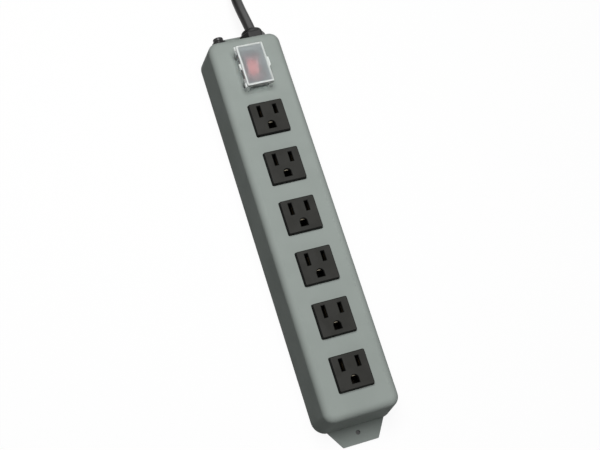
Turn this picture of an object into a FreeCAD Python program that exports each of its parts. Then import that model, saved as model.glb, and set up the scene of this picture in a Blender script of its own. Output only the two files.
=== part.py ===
"""Six-outlet steel power strip with a guarded rocker switch, a reset breaker and a mains cord.

Frame: the strip lies along Y and rests on z = 0. The cord, the breaker and the switch are at +Y.
X is across the strip. The origin is under the middle of the strip, screw tabs included.
All sizes are in millimetres.
"""
import FreeCAD, Part
import math
import os

V = FreeCAD.Vector
X_AXIS = V(1, 0, 0)
Y_AXIS = V(0, 1, 0)
Z_AXIS = V(0, 0, 1)

# ---- Housing: a drawn steel box, open below ----
BODY_LENGTH = 317.5
BODY_WIDTH = 64.5
PANEL_Z = 34.8
SHELL_WALL = 1.2
WALL_DRAFT_DEG = 5.0
CORNER_RADIUS = 10.9
PANEL_EDGE_RADIUS = 6.0

# ---- Base plate and its screw tabs ----
PLATE_THICKNESS = 1.2
PLATE_GAP = 0.3
TAB_LENGTH = 13.7
TAB_ROOT_WIDTH = 46.0
TAB_FRONT_WIDTH = 28.2
TAB_CORNER = 0.9
TAB_HOLE_DIAMETER = 3.6
TAB_HOLE_FROM_WALL = 5.5
NOTCH_GAP = 0.3

# ---- Base plate screws and the shell's inner lugs ----
SCREW_FROM_END = 54.75
SCREW_FROM_SIDE = 8.25
SCREW_DIAMETER = 3.2
SCREW_HEAD_DIAMETER = 5.6
SCREW_LENGTH = 6.0
SCREW_HOLE_GAP = 0.05
DRIVE_WIDTH = 0.9
DRIVE_SPAN = 3.0
DRIVE_DEPTH = 0.7
LUG_THICKNESS = 2.0
LUG_WIDTH = 10.0
LUG_REACH = 5.0

# ---- Outlets (NEMA 5-15R spacing) ----
OUTLET_PITCH = 41.275
FIRST_SLOT_FROM_SWITCH = 37.46
LAST_SLOT_FROM_END = 30.0
FACE_WIDTH = 27.2
FACE_HEIGHT = 26.8
FACE_ABOVE_SLOTS = 7.6
FACE_PROUD = 3.2
FACE_CORNER = 1.3
FACE_EDGE_ROUND = 0.7
FACE_WALL = 2.2
APERTURE_GAP = 0.4
SLOT_SPACING = 12.7
SLOT_WIDTH = 2.6
NEUTRAL_SLOT_LENGTH = 9.2
LINE_SLOT_LENGTH = 7.7
LEAD_IN = 0.45
GROUND_OFFSET = 11.9
GROUND_RADIUS = 2.8
GROUND_FLAT = 3.3
FLANGE_MARGIN = 2.2
FLANGE_THICKNESS = 2.0
MOULDING_WIDTH = 27.6
MOULDING_HEIGHT = 28.4
MOULDING_FOOT_Z = 21.0
BLADE_POCKET_WIDTH = 6.2
BLADE_POCKET_LENGTH = 10.4
GROUND_POCKET_WIDTH = 8.4
GROUND_POCKET_ABOVE = 4.3
GROUND_POCKET_BELOW = 4.8

# ---- Bus bars, spring contacts and the tray under them ----
BUS_Z = 17.2
BUS_THICKNESS = 0.8
BUS_WIDTH = 5.6
GROUND_BUS_WIDTH = 5.9
BUS_BEYOND_FIRST = 13.0
BUS_BEYOND_LAST = 6.0
GROUND_BUS_BEYOND_LAST = 15.0
BUS_TAB_HEIGHT = 10.8
LEAF_THICKNESS = 0.5
BLADE_LEAF_GAP = 1.6
BLADE_LEAF_LENGTH = 6.0
BLADE_LEAF_TOP = 32.6
LEAF_FLARE = 0.9
LEAF_FLARE_HEIGHT = 1.8
GROUND_LEAF_GAP = 4.9
GROUND_LEAF_LENGTH = 3.6
GROUND_LEAF_TOP = 32.0
TONGUE_WIDTH = 4.4
TONGUE_OFFSET = 1.9
TONGUE_ROLL_RADIUS = 1.2
TONGUE_ROLL_DEG = 130.0
TONGUE_TOP_GAP = 0.5
TRAY_WIDTH = 27.6
TRAY_WALL = 1.4
TRAY_DECK = 2.0
TRAY_LEG_THICKNESS = 2.0
TRAY_RIB_THICKNESS = 0.5
TRAY_RIB_HEIGHT = 2.8
TRAY_END_MARGIN = 2.0

# ---- Rocker switch ----
SWITCH_FROM_END = 32.75
CASE_WIDTH = 13.2
CASE_LENGTH = 27.8
CASE_FOOT_Z = 15.0
CASE_FLOOR = 2.0
BEZEL_WIDTH = 15.4
BEZEL_LENGTH = 30.0
BEZEL_THICKNESS = 2.0
BEZEL_CORNER = 1.5
BEZEL_EDGE = 0.6
WELL_WIDTH = 11.8
WELL_LENGTH = 23.8
CUTOUT_GAP = 0.15
ROCKER_WIDTH = 11.2
ROCKER_RADIUS = 11.6
ROCKER_AXIS_Z = 34.5
ROCKER_CENTRE_RISE = 3.6
ROCKER_SWING_DEG = 18.0
ROCKER_SKIRT_DROP = 1.5
ROCKER_SHOULDER_Y = 7.0
ROCKER_SHOULDER_DROP = 4.0
ROCKER_TIP_DROP = 6.5
ROCKER_TIP_WIDTH = 2.0
ROCKER_PIN_RADIUS = 1.0
RUNNING_GAP = 0.05
SEESAW_SWING_DEG = 12.0
SEESAW_LENGTH = 12.0
SEESAW_WIDTH = 6.0
SEESAW_THICKNESS = 0.8
SEESAW_AXIS_Z = 27.2
TERMINAL_WIDTH = 6.3
TERMINAL_THICKNESS = 0.8
TERMINAL_SPACING = 8.0
TERMINAL_TIP_Z = 7.0
TERMINAL_PAD_TOP_Z = 25.6
TERMINAL_PAD_REACH = 3.0
LAMP_RADIUS = 1.4
LAMP_LENGTH = 5.6

# ---- Switch guard: a base frame and a hinged frosted lid on legs ----
GUARD_WIDTH = 22.0
GUARD_LENGTH = 35.0
GUARD_CORNER = 1.2
GUARD_TOP_EDGE = 0.5
GUARD_FRAME_THICKNESS = 1.0
GUARD_FRAME_MARGIN = 0.6
GUARD_HEIGHT = 10.4
GUARD_WALL = 1.1
GUARD_SKIRT = 2.4
GUARD_LEG_ARM = 2.8
GUARD_LEG_GAP = 0.4
HINGE_RISE = 7.8
HINGE_OUTSET = 0.3
HINGE_RADIUS = 1.2
HINGE_PIN_RADIUS = 0.5
HINGE_GAP = 0.3
HINGE_POST_THICKNESS = 1.2
FRAME_KNUCKLE_LENGTH = 3.2
MID_LEG_LENGTH = 5.0
FINGER_TAB_LENGTH = 7.8
FINGER_TAB_REACH = 1.2
FINGER_TAB_THICKNESS = 1.4
FINGER_TAB_CORNER = 1.0

# ---- Breaker in the cord end wall ----
END_FITTING_Z = 19.1
BREAKER_FROM_SWITCH = 2.6
BREAKER_CASE_WIDTH = 13.6
BREAKER_CASE_HEIGHT = 14.4
BREAKER_CASE_LENGTH = 26.0
BREAKER_CASE_EDGE = 1.0
BREAKER_SHOULDER_RADIUS = 5.2
BREAKER_SHOULDER_LENGTH = 0.6
BUSHING_RADIUS = 4.1
BUSHING_REACH = 5.0
NUT_RADIUS = 5.7
NUT_THICKNESS = 4.5
NUT_EDGE = 0.5
NUT_FLUTES = 12
NUT_FLUTE_RADIUS = 0.6
BUTTON_STEM_RADIUS = 2.7
BUTTON_BORE_GAP = 0.1
BUTTON_STEM_DEPTH = 5.0
BUTTON_CAP_RADIUS = 4.2
BUTTON_CAP_LENGTH = 2.8
BUTTON_CAP_EDGE = 1.0
BUTTON_CAP_GAP = 0.3
BREAKER_TERMINAL_SPACING = 7.0
BREAKER_TERMINAL_LENGTH = 7.0
SEAT_GAP = 0.05

# ---- Strain relief and the cord ----
RELIEF_FROM_SIDE = 19.65
RELIEF_HEAD_FLATS = 19.2
RELIEF_HEAD_THICKNESS = 6.0
RELIEF_HEAD_CORNER = 2.0
RELIEF_HEAD_EDGE = 0.8
RELIEF_DOME_LENGTH = 3.6
RELIEF_DOME_RADIUS = 8.6
RELIEF_DOME_ROUND = 2.6
RELIEF_MOUTH_FLARE = 0.8
RELIEF_BARREL_RADIUS = 8.0
RELIEF_BARREL_LENGTH = 14.0
LOCKNUT_RADIUS = 10.2
LOCKNUT_THICKNESS = 3.0
CORD_DIAMETER = 8.5
CORD_BORE_GAP = 0.05
JACKET_END_DEPTH = 22.0
JACKET_SHORT_OF_MOUTH = 1.0

# ---- Ground bonding inside ----
BOND_FROM_SIDE = 7.75
BOND_FROM_END = 43.75
BOND_SHELF_Z = 10.0
BOND_SHELF_THICKNESS = 1.5
BOND_SHELF_WIDTH = 10.0
BOND_SHELF_REACH = 5.0
RING_OUTER_RADIUS = 4.2
RING_THICKNESS = 0.8
RING_BARREL_RADIUS = 2.0
RING_BARREL_LENGTH = 5.0
BOND_SCREW_RADIUS = 2.0
BOND_SCREW_DEPTH = 4.0
BOND_HEAD_RADIUS = 3.8
BOND_HEAD_HEIGHT = 2.4

# ---- Inner wires ----
WIRE_RADIUS = 1.4
CORE_RADIUS = 2.0

# ---- Stored cord: an oval hank of four turns beyond the strip's cord end ----
HANK_X = -13.4
HANK_FROM_END = 58.25
HANK_STRAIGHT = 139.0
HANK_FOLD_RADIUS = 25.5
HANK_COLUMNS = 2
HANK_HEIGHT = 16.8
TAIL_START_FROM_FOLD = 11.0
TAIL_START_GAP = 0.2
TAIL_CLEARING = 42.0
TIE_WIDTH = 9.0
TIE_THICKNESS = 1.2

# ---- Plug (NEMA 5-15P), lying inside the hank with its ground pin low ----
PLUG_REAR_FROM_HANK_TIP = 91.5
PLUG_AXIS_Z = 12.6
PLUG_WIDTH = 27.0
PLUG_HEIGHT = 25.0
PLUG_LENGTH = 31.0
PLUG_CORNER = 6.0
PLUG_NOSE_EDGE = 1.5
PLUG_SHOULDER_LENGTH = 8.0
PLUG_RELIEF_LENGTH = 20.0
PLUG_RELIEF_RADIUS = 5.3
PLUG_RELIEF_WALL = 0.6
PLUG_SHOULDER_RADIUS = 8.6
BLADE_LENGTH = 17.5
BLADE_THICKNESS = 1.5
LINE_BLADE_HEIGHT = 6.35
NEUTRAL_BLADE_HEIGHT = 7.9
BLADE_RISE = 5.2
BLADE_TIP = 1.2
GROUND_PIN_RADIUS = 2.4
GROUND_PIN_LENGTH = 20.6

# ---- Places that follow from the sizes above ----
END_Y = BODY_LENGTH / 2
SWITCH_Y = END_Y - SWITCH_FROM_END
SCREW_X = BODY_WIDTH / 2 - SCREW_FROM_SIDE
BREAKER_X = -(CASE_WIDTH / 2 + BREAKER_FROM_SWITCH + BREAKER_CASE_WIDTH / 2)
RELIEF_X = BODY_WIDTH / 2 - RELIEF_FROM_SIDE
SCREW_Y = END_Y - SCREW_FROM_END
BOND_X = BODY_WIDTH / 2 - BOND_FROM_SIDE
BOND_Y = END_Y - BOND_FROM_END
FIRST_SLOT_Y = SWITCH_Y - FIRST_SLOT_FROM_SWITCH
OUTLET_COUNT = 1 + int((FIRST_SLOT_Y + END_Y - LAST_SLOT_FROM_END) / OUTLET_PITCH)
HANK_NEAR_TIP_Y = END_Y + HANK_FROM_END
PLUG_X = HANK_X
PLUG_REAR_Y = HANK_NEAR_TIP_Y + PLUG_REAR_FROM_HANK_TIP


# ---------------------------------------------------------------- helpers
def box(x0, x1, y0, y1, z0, z1):
    """A block between two corners."""
    return Part.makeBox(x1 - x0, y1 - y0, z1 - z0, V(x0, y0, z0))


def centred_box(width, length, z0, z1, x=0.0, y=0.0):
    """A block centred on (x, y) in plan."""
    return box(x - width / 2, x + width / 2, y - length / 2, y + length / 2, z0, z1)


def rounded_rectangle(width, length, radius, z, x=0.0, y=0.0):
    """A closed wire in plan: a rectangle with round corners."""
    half_w = width / 2 - radius
    half_l = length / 2 - radius
    corners = [(1, 1, 0), (-1, 1, 90), (-1, -1, 180), (1, -1, 270)]
    edges = []
    ends = []
    for side_x, side_y, start_deg in corners:
        centre = V(x + side_x * half_w, y + side_y * half_l, z)
        points = []
        for turn in (0, 45, 90):
            angle = math.radians(start_deg + turn)
            points.append(centre + V(radius * math.cos(angle), radius * math.sin(angle), 0))
        ends.append((points[0], Part.Arc(*points).toShape(), points[2]))
    for index, (_, arc, last) in enumerate(ends):
        following = ends[(index + 1) % 4][0]
        edges.append(arc)
        edges.append(Part.LineSegment(last, following).toShape())
    return Part.Wire(edges)


def rounded_block(width, length, radius, z0, z1, x=0.0, y=0.0):
    """A block with round upright corners."""
    face = Part.Face(rounded_rectangle(width, length, radius, z0, x, y))
    return face.extrude(V(0, 0, z1 - z0))


def polygon_prism(points, direction):
    """A prism on a closed polygon."""
    loop = [V(*p) for p in points]
    return Part.Face(Part.makePolygon(loop + loop[:1])).extrude(direction)


def frustum(lower, upper):
    """A solid between two matching closed wires."""
    return Part.makeLoft([lower, upper], True, True)


def edges_at_height(shape, z):
    """The edges of a shape that lie wholly at one height."""
    return [e for e in shape.Edges if all(abs(v.Z - z) < 1e-4 for v in e.Vertexes)]


def draft_inset(z):
    """How far a housing wall leans in at a height."""
    return z * math.tan(math.radians(WALL_DRAFT_DEG))


def on_end_wall(shape, x):
    """Turn and move a fitting, modelled along +Y from a seat at y = 0, onto the cord end wall."""
    placed = shape.copy()
    placed.rotate(V(0, 0, 0), X_AXIS, WALL_DRAFT_DEG)
    seat_y = END_Y - draft_inset(END_FITTING_Z)
    placed.translate(V(x, seat_y, END_FITTING_Z))
    return placed


def end_wall_point(x, out, up=0.0, side=0.0):
    """Where a point of a cord end fitting lands: out along the wall's normal, up along the wall."""
    lean = math.radians(WALL_DRAFT_DEG)
    seat_y = END_Y - draft_inset(END_FITTING_Z)
    return V(x + side, seat_y + out * math.cos(lean) - up * math.sin(lean),
             END_FITTING_Z + out * math.sin(lean) + up * math.cos(lean))


def rod(radius, start, end):
    """A cylinder between two points."""
    return Part.makeCylinder(radius, (end - start).Length, start, end - start)


def route_wire(points):
    """Straight runs joined by tangent arcs, and the arcs' radii."""
    edges = []
    radii = []
    last = points[0]
    for before, corner, after in zip(points, points[1:], points[2:]):
        run_in = corner - before
        run_out = after - corner
        half_turn = run_in.getAngle(run_out) / 2
        trim = 0.45 * min(run_in.Length, run_out.Length)
        radius = trim / math.tan(half_turn)
        radii.append(radius)
        into = V(run_in).normalize()
        out = V(run_out).normalize()
        start = corner - into * trim
        end = corner + out * trim
        inward = (out - into).normalize()
        middle = corner + inward * (radius / math.cos(half_turn) - radius)
        edges.append(Part.LineSegment(last, start).toShape())
        edges.append(Part.Arc(start, middle, end).toShape())
        last = end
    edges.append(Part.LineSegment(last, points[-1]).toShape())
    return Part.Wire(edges), radii


def tube_along(points, radius):
    """A round solid swept along a route. Returns the solid, its length and its arcs' radii."""
    path, radii = route_wire(points)
    start = points[0]
    profile = Part.Wire([Part.Circle(start, points[1] - start, radius).toShape()])
    solid = path.makePipeShell([profile], True, False)
    return solid, path.Length, radii


def save(name, shape):
    """Write one node."""
    shape.exportStep("parts/%s.step" % name)


# ---------------------------------------------------------------- housing
def drafted_box(width, length, radius, height):
    """The housing's outer form before its top edge is rounded."""
    inset = draft_inset(height)
    foot = rounded_rectangle(width, length, radius, 0)
    top = rounded_rectangle(width - 2 * inset, length - 2 * inset, radius - inset, height)
    return frustum(foot, top)


def slot_y(index):
    """The slot line of an outlet. Outlet 0 is the one beside the switch."""
    return FIRST_SLOT_Y - index * OUTLET_PITCH


def face_y(index):
    """The middle of an outlet's square face."""
    return slot_y(index) + FACE_ABOVE_SLOTS - FACE_HEIGHT / 2


def wall_lug(x, y, z0, thickness, width, reach, side):
    """A tab bent inwards from a side wall at +X or -X."""
    inner = x - side * reach
    outer = side * (BODY_WIDTH / 2 - draft_inset(z0 + thickness) - SHELL_WALL / 2)
    return box(min(inner, outer), max(inner, outer), y - width / 2, y + width / 2, z0, z0 + thickness)


def screw_places():
    """The plan positions of the base plate screws."""
    return [(sx * SCREW_X, sy * SCREW_Y) for sx in (-1, 1) for sy in (-1, 1)]


def make_housing_shell():
    outer = drafted_box(BODY_WIDTH, BODY_LENGTH, CORNER_RADIUS, PANEL_Z)
    outer = outer.makeFillet(PANEL_EDGE_RADIUS, edges_at_height(outer, PANEL_Z))
    inner_top = PANEL_Z - SHELL_WALL
    inner = drafted_box(BODY_WIDTH - 2 * SHELL_WALL, BODY_LENGTH - 2 * SHELL_WALL,
                        CORNER_RADIUS - SHELL_WALL, inner_top)
    inner = inner.makeFillet(PANEL_EDGE_RADIUS - SHELL_WALL, edges_at_height(inner, inner_top))
    shell = outer.cut(inner)

    lugs = [wall_lug(x, y, PLATE_THICKNESS, LUG_THICKNESS, LUG_WIDTH, LUG_REACH, math.copysign(1, x))
            for x, y in screw_places()]
    lugs.append(wall_lug(BOND_X, BOND_Y, BOND_SHELF_Z, BOND_SHELF_THICKNESS, BOND_SHELF_WIDTH,
                         BOND_SHELF_REACH, 1))
    shell = shell.fuse(lugs)

    cuts = []
    for index in range(OUTLET_COUNT):
        cuts.append(rounded_block(FACE_WIDTH + 2 * APERTURE_GAP, FACE_HEIGHT + 2 * APERTURE_GAP,
                                  FACE_CORNER, inner_top - 1, PANEL_Z + 1, 0, face_y(index)))
    cuts.append(centred_box(CASE_WIDTH + 2 * CUTOUT_GAP, CASE_LENGTH + 2 * CUTOUT_GAP,
                            inner_top - 1, PANEL_Z + 1, 0, SWITCH_Y))
    breaker_hole = Part.makeCylinder(BUSHING_RADIUS + CUTOUT_GAP, 8, V(0, -4, 0), Y_AXIS)
    relief_hole = Part.makeCylinder(RELIEF_BARREL_RADIUS + CUTOUT_GAP, 8, V(0, -4, 0), Y_AXIS)
    cuts.append(on_end_wall(breaker_hole, BREAKER_X))
    cuts.append(on_end_wall(relief_hole, RELIEF_X))
    notch_top = PLATE_THICKNESS + NOTCH_GAP
    for side in (-1, 1):
        cuts.append(centred_box(TAB_ROOT_WIDTH + 2 * NOTCH_GAP, 4 * SHELL_WALL, -1, notch_top, 0,
                                side * (BODY_LENGTH / 2 - SHELL_WALL)))
    for x, y in screw_places():
        cuts.append(rod(SCREW_DIAMETER / 2 + SCREW_HOLE_GAP, V(x, y, 0), V(x, y, SCREW_LENGTH)))
    cuts.append(rod(BOND_SCREW_RADIUS + SCREW_HOLE_GAP, V(BOND_X, BOND_Y, BOND_SHELF_Z - 1),
                    V(BOND_X, BOND_Y, BOND_SHELF_Z + BOND_SHELF_THICKNESS + 1)))
    return shell.cut(cuts)


def tab_outline(side):
    """A screw tab's outline in plan: wide at the wall, narrow at its round-cornered front."""
    wall_y = BODY_LENGTH / 2 - 2 * SHELL_WALL
    front_y = BODY_LENGTH / 2 + TAB_LENGTH
    root = TAB_ROOT_WIDTH / 2
    front = TAB_FRONT_WIDTH / 2
    shoulder = BODY_LENGTH / 2 - SHELL_WALL / 2
    points = [(-root, wall_y), (root, wall_y), (root, shoulder), (front, front_y), (-front, front_y),
              (-root, shoulder)]
    return [(x, side * y, 0) for x, y in points]


def make_base_plate():
    margin = 2 * (SHELL_WALL + PLATE_GAP)
    plate = rounded_block(BODY_WIDTH - margin, BODY_LENGTH - margin,
                          CORNER_RADIUS - SHELL_WALL - PLATE_GAP, 0, PLATE_THICKNESS)
    tabs = []
    holes = []
    for side in (-1, 1):
        tab = polygon_prism(tab_outline(side), V(0, 0, PLATE_THICKNESS))
        front_y = side * (BODY_LENGTH / 2 + TAB_LENGTH)
        corners = [e for e in tab.Edges
                   if all(abs(v.Y - front_y) < 1e-4 for v in e.Vertexes) and e.Length < 2 * PLATE_THICKNESS]
        tabs.append(tab.makeFillet(TAB_CORNER, corners))
        hole_y = side * (BODY_LENGTH / 2 + TAB_HOLE_FROM_WALL)
        holes.append(rod(TAB_HOLE_DIAMETER / 2, V(0, hole_y, -1), V(0, hole_y, PLATE_THICKNESS + 1)))
    plate = plate.fuse(tabs).removeSplitter()
    for x, y in screw_places():
        holes.append(screw_head(x, y, SCREW_HOLE_GAP))
        holes.append(rod(SCREW_DIAMETER / 2 + SCREW_HOLE_GAP, V(x, y, -1), V(x, y, PLATE_THICKNESS + 1)))
    return plate.cut(holes)


def screw_head(x, y, gap):
    """A countersunk head's cone, opening downwards, through the plate's thickness."""
    return Part.makeCone(SCREW_HEAD_DIAMETER / 2 + gap, SCREW_DIAMETER / 2 + gap, PLATE_THICKNESS,
                         V(x, y, 0), Z_AXIS)


def make_base_screws():
    screws = []
    for x, y in screw_places():
        body = screw_head(x, y, 0).fuse(rod(SCREW_DIAMETER / 2, V(x, y, 0), V(x, y, SCREW_LENGTH)))
        drive = [centred_box(DRIVE_SPAN, DRIVE_WIDTH, -1, DRIVE_DEPTH, x, y),
                 centred_box(DRIVE_WIDTH, DRIVE_SPAN, -1, DRIVE_DEPTH, x, y)]
        screws.append(body.cut(drive))
    return Part.Compound(screws)


# ---------------------------------------------------------------- outlets
def arch_wire(radius, flat, x, y, z):
    """The ground hole's outline: round towards the blade slots and flat away from them."""
    left = V(x - radius, y, z)
    top = V(x, y + radius, z)
    right = V(x + radius, y, z)
    low_right = V(x + radius, y - flat, z)
    low_left = V(x - radius, y - flat, z)
    return Part.Wire([Part.Arc(left, top, right).toShape(),
                      Part.LineSegment(right, low_right).toShape(),
                      Part.LineSegment(low_right, low_left).toShape(),
                      Part.LineSegment(low_left, left).toShape()])


def rectangle_wire(width, length, x, y, z):
    """A plain rectangle in plan."""
    corners = [V(x + sx * width / 2, y + sy * length / 2, z) for sx, sy in
               ((-1, -1), (1, -1), (1, 1), (-1, 1))]
    return Part.makePolygon(corners + corners[:1])


def flared_hole(wire_at, z0, z1):
    """A hole with a small lead-in at the face. wire_at(growth, z) gives its outline."""
    straight = Part.Face(wire_at(0.0, z0)).extrude(V(0, 0, z1 - z0 + 1))
    return straight.fuse(frustum(wire_at(0.0, z1 - LEAD_IN), wire_at(LEAD_IN, z1)))


def make_outlet(index):
    middle = face_y(index)
    slots = slot_y(index)
    ground = slots - GROUND_OFFSET
    top = PANEL_Z + FACE_PROUD
    seat = PANEL_Z - SHELL_WALL
    face = rounded_block(FACE_WIDTH, FACE_HEIGHT, FACE_CORNER, seat - 1, top, 0, middle)
    face = face.makeFillet(FACE_EDGE_ROUND, edges_at_height(face, top))
    flange = rounded_block(FACE_WIDTH + 2 * FLANGE_MARGIN, FACE_HEIGHT + 2 * FLANGE_MARGIN,
                           FACE_CORNER, seat - FLANGE_THICKNESS, seat, 0, middle)
    moulding = centred_box(MOULDING_WIDTH, MOULDING_HEIGHT, MOULDING_FOOT_Z, seat - 1, 0, middle)
    body = face.fuse([flange, moulding])

    pocket_top = top - FACE_WALL
    cuts = []
    for side, length in ((-1, NEUTRAL_SLOT_LENGTH), (1, LINE_SLOT_LENGTH)):
        x = side * SLOT_SPACING / 2
        cuts.append(centred_box(BLADE_POCKET_WIDTH, BLADE_POCKET_LENGTH, MOULDING_FOOT_Z - 1,
                                pocket_top, x, slots))
        cuts.append(flared_hole(
            lambda grow, z, x=x, length=length: rectangle_wire(
                SLOT_WIDTH + 2 * grow, length + 2 * grow, x, slots, z), pocket_top - 1, top))
    cuts.append(box(-GROUND_POCKET_WIDTH / 2, GROUND_POCKET_WIDTH / 2, ground - GROUND_POCKET_BELOW,
                    ground + GROUND_POCKET_ABOVE, MOULDING_FOOT_Z - 1, pocket_top))
    cuts.append(flared_hole(
        lambda grow, z: arch_wire(GROUND_RADIUS + grow, GROUND_FLAT + grow, 0, ground, z),
        pocket_top - 1, top))
    return body.cut(cuts)


# ---------------------------------------------------------------- bus bars
def bus_leaf(x, y, gap, length, top, side):
    """One upright spring leaf beside a blade or pin, flared at its tip."""
    inner = x + side * gap / 2
    outer = inner + side * LEAF_THICKNESS
    foot = BUS_Z + BUS_THICKNESS / 2
    bend = top - LEAF_FLARE_HEIGHT
    profile = [(inner, foot), (inner, bend), (inner + side * LEAF_FLARE, top),
               (outer + side * LEAF_FLARE, top), (outer, bend), (outer, foot)]
    return polygon_prism([(px, y - length / 2, pz) for px, pz in profile], V(0, length, 0))


def bus_strip(x, width, beyond_last):
    """A flat strip under all the outlets, with an upturned wire tab at its switch end."""
    start = slot_y(OUTLET_COUNT - 1) - beyond_last
    end = slot_y(0) + BUS_BEYOND_FIRST
    strip = box(x - width / 2, x + width / 2, start, end, BUS_Z, BUS_Z + BUS_THICKNESS)
    tab = box(x - width / 2, x + width / 2, end - BUS_THICKNESS, end, BUS_Z, BUS_Z + BUS_TAB_HEIGHT)
    return strip.fuse(tab)


def make_blade_bus(side):
    x = side * SLOT_SPACING / 2
    leaves = [bus_leaf(x, slot_y(index), BLADE_LEAF_GAP, BLADE_LEAF_LENGTH, BLADE_LEAF_TOP, leaf_side)
              for index in range(OUTLET_COUNT) for leaf_side in (-1, 1)]
    return bus_strip(x, BUS_WIDTH, BUS_BEYOND_LAST).fuse(leaves)


def ground_tongue(y):
    """The back leaf of a ground contact, its top rolled over outwards to guide the pin in."""
    foot = BUS_Z + BUS_THICKNESS / 2
    inner = y + TONGUE_OFFSET
    centre_y = inner + TONGUE_ROLL_RADIUS
    centre_z = PANEL_Z + FACE_PROUD - FACE_WALL - TONGUE_TOP_GAP - TONGUE_ROLL_RADIUS

    def on_roll(radius, degrees):
        angle = math.radians(180 - degrees)
        return V(-TONGUE_WIDTH / 2, centre_y + radius * math.cos(angle),
                 centre_z + radius * math.sin(angle))

    arcs = []
    for radius in (TONGUE_ROLL_RADIUS, TONGUE_ROLL_RADIUS - LEAF_THICKNESS):
        arcs.append([on_roll(radius, TONGUE_ROLL_DEG * share) for share in (0, 0.5, 1)])
    outer, under = arcs
    outer_foot = V(-TONGUE_WIDTH / 2, inner, foot)
    under_foot = V(-TONGUE_WIDTH / 2, inner + LEAF_THICKNESS, foot)
    outline = Part.Wire([Part.LineSegment(outer_foot, outer[0]).toShape(),
                         Part.Arc(*outer).toShape(),
                         Part.LineSegment(outer[2], under[2]).toShape(),
                         Part.Arc(*under[::-1]).toShape(),
                         Part.LineSegment(under[0], under_foot).toShape(),
                         Part.LineSegment(under_foot, outer_foot).toShape()])
    return Part.Face(outline).extrude(V(TONGUE_WIDTH, 0, 0))


def make_ground_bus():
    parts = []
    for index in range(OUTLET_COUNT):
        y = slot_y(index) - GROUND_OFFSET
        parts.append(ground_tongue(y))
        for side in (-1, 1):
            parts.append(bus_leaf(0, y, GROUND_LEAF_GAP, GROUND_LEAF_LENGTH, GROUND_LEAF_TOP, side))
    return bus_strip(0, GROUND_BUS_WIDTH, GROUND_BUS_BEYOND_LAST).fuse(parts)


def make_bus_tray():
    """The insulating tray: legs on the base plate, a deck under the buses, ribs between them."""
    start = slot_y(OUTLET_COUNT - 1) - GROUND_BUS_BEYOND_LAST - TRAY_END_MARGIN
    end = slot_y(0) + BUS_BEYOND_FIRST - BUS_THICKNESS - TRAY_END_MARGIN
    half = TRAY_WIDTH / 2
    parts = [box(-half, half, start, end, BUS_Z - TRAY_DECK, BUS_Z)]
    for side in (-1, 1):
        leg_inner = side * (half - TRAY_LEG_THICKNESS)
        parts.append(box(min(leg_inner, side * half), max(leg_inner, side * half), start, end,
                         PLATE_THICKNESS, BUS_Z))
        wall_inner = side * (half - TRAY_WALL)
        parts.append(box(min(wall_inner, side * half), max(wall_inner, side * half), start, end,
                         BUS_Z, MOULDING_FOOT_Z))
        rib_x = side * (SLOT_SPACING / 2 - BUS_WIDTH / 2 + GROUND_BUS_WIDTH / 2) / 2
        parts.append(centred_box(TRAY_RIB_THICKNESS, end - start, BUS_Z, BUS_Z + TRAY_RIB_HEIGHT,
                                 rib_x, (start + end) / 2))
    return parts[0].fuse(parts[1:]).removeSplitter()


# ---------------------------------------------------------------- switch
def bezel_foot():
    """The switch bezel's underside, on top of the guard's base frame."""
    return PANEL_Z + GUARD_FRAME_THICKNESS


def terminal_places():
    """The terminals' Y positions: load, supply and lamp."""
    return [SWITCH_Y + step * TERMINAL_SPACING for step in (-1, 0, 1)]


def make_switch_case():
    foot = bezel_foot()
    top = foot + BEZEL_THICKNESS
    bezel = rounded_block(BEZEL_WIDTH, BEZEL_LENGTH, BEZEL_CORNER, foot, top, 0, SWITCH_Y)
    bezel = bezel.makeFillet(BEZEL_EDGE, edges_at_height(bezel, top))
    case = centred_box(CASE_WIDTH, CASE_LENGTH, CASE_FOOT_Z, foot + 0.5, 0, SWITCH_Y).fuse(bezel)
    cuts = [centred_box(WELL_WIDTH, WELL_LENGTH, CASE_FOOT_Z + CASE_FLOOR, foot + 5, 0, SWITCH_Y)]
    for y in terminal_places():
        cuts.append(centred_box(TERMINAL_WIDTH + 2 * RUNNING_GAP, TERMINAL_THICKNESS + 2 * RUNNING_GAP,
                                CASE_FOOT_Z - 1, CASE_FOOT_Z + CASE_FLOOR + 1, 0, y))
    half_pin = CASE_WIDTH / 2
    cuts.append(rod(ROCKER_PIN_RADIUS + RUNNING_GAP, V(-half_pin, SWITCH_Y, ROCKER_AXIS_Z),
                    V(half_pin, SWITCH_Y, ROCKER_AXIS_Z)))
    return case.cut(cuts)


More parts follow.
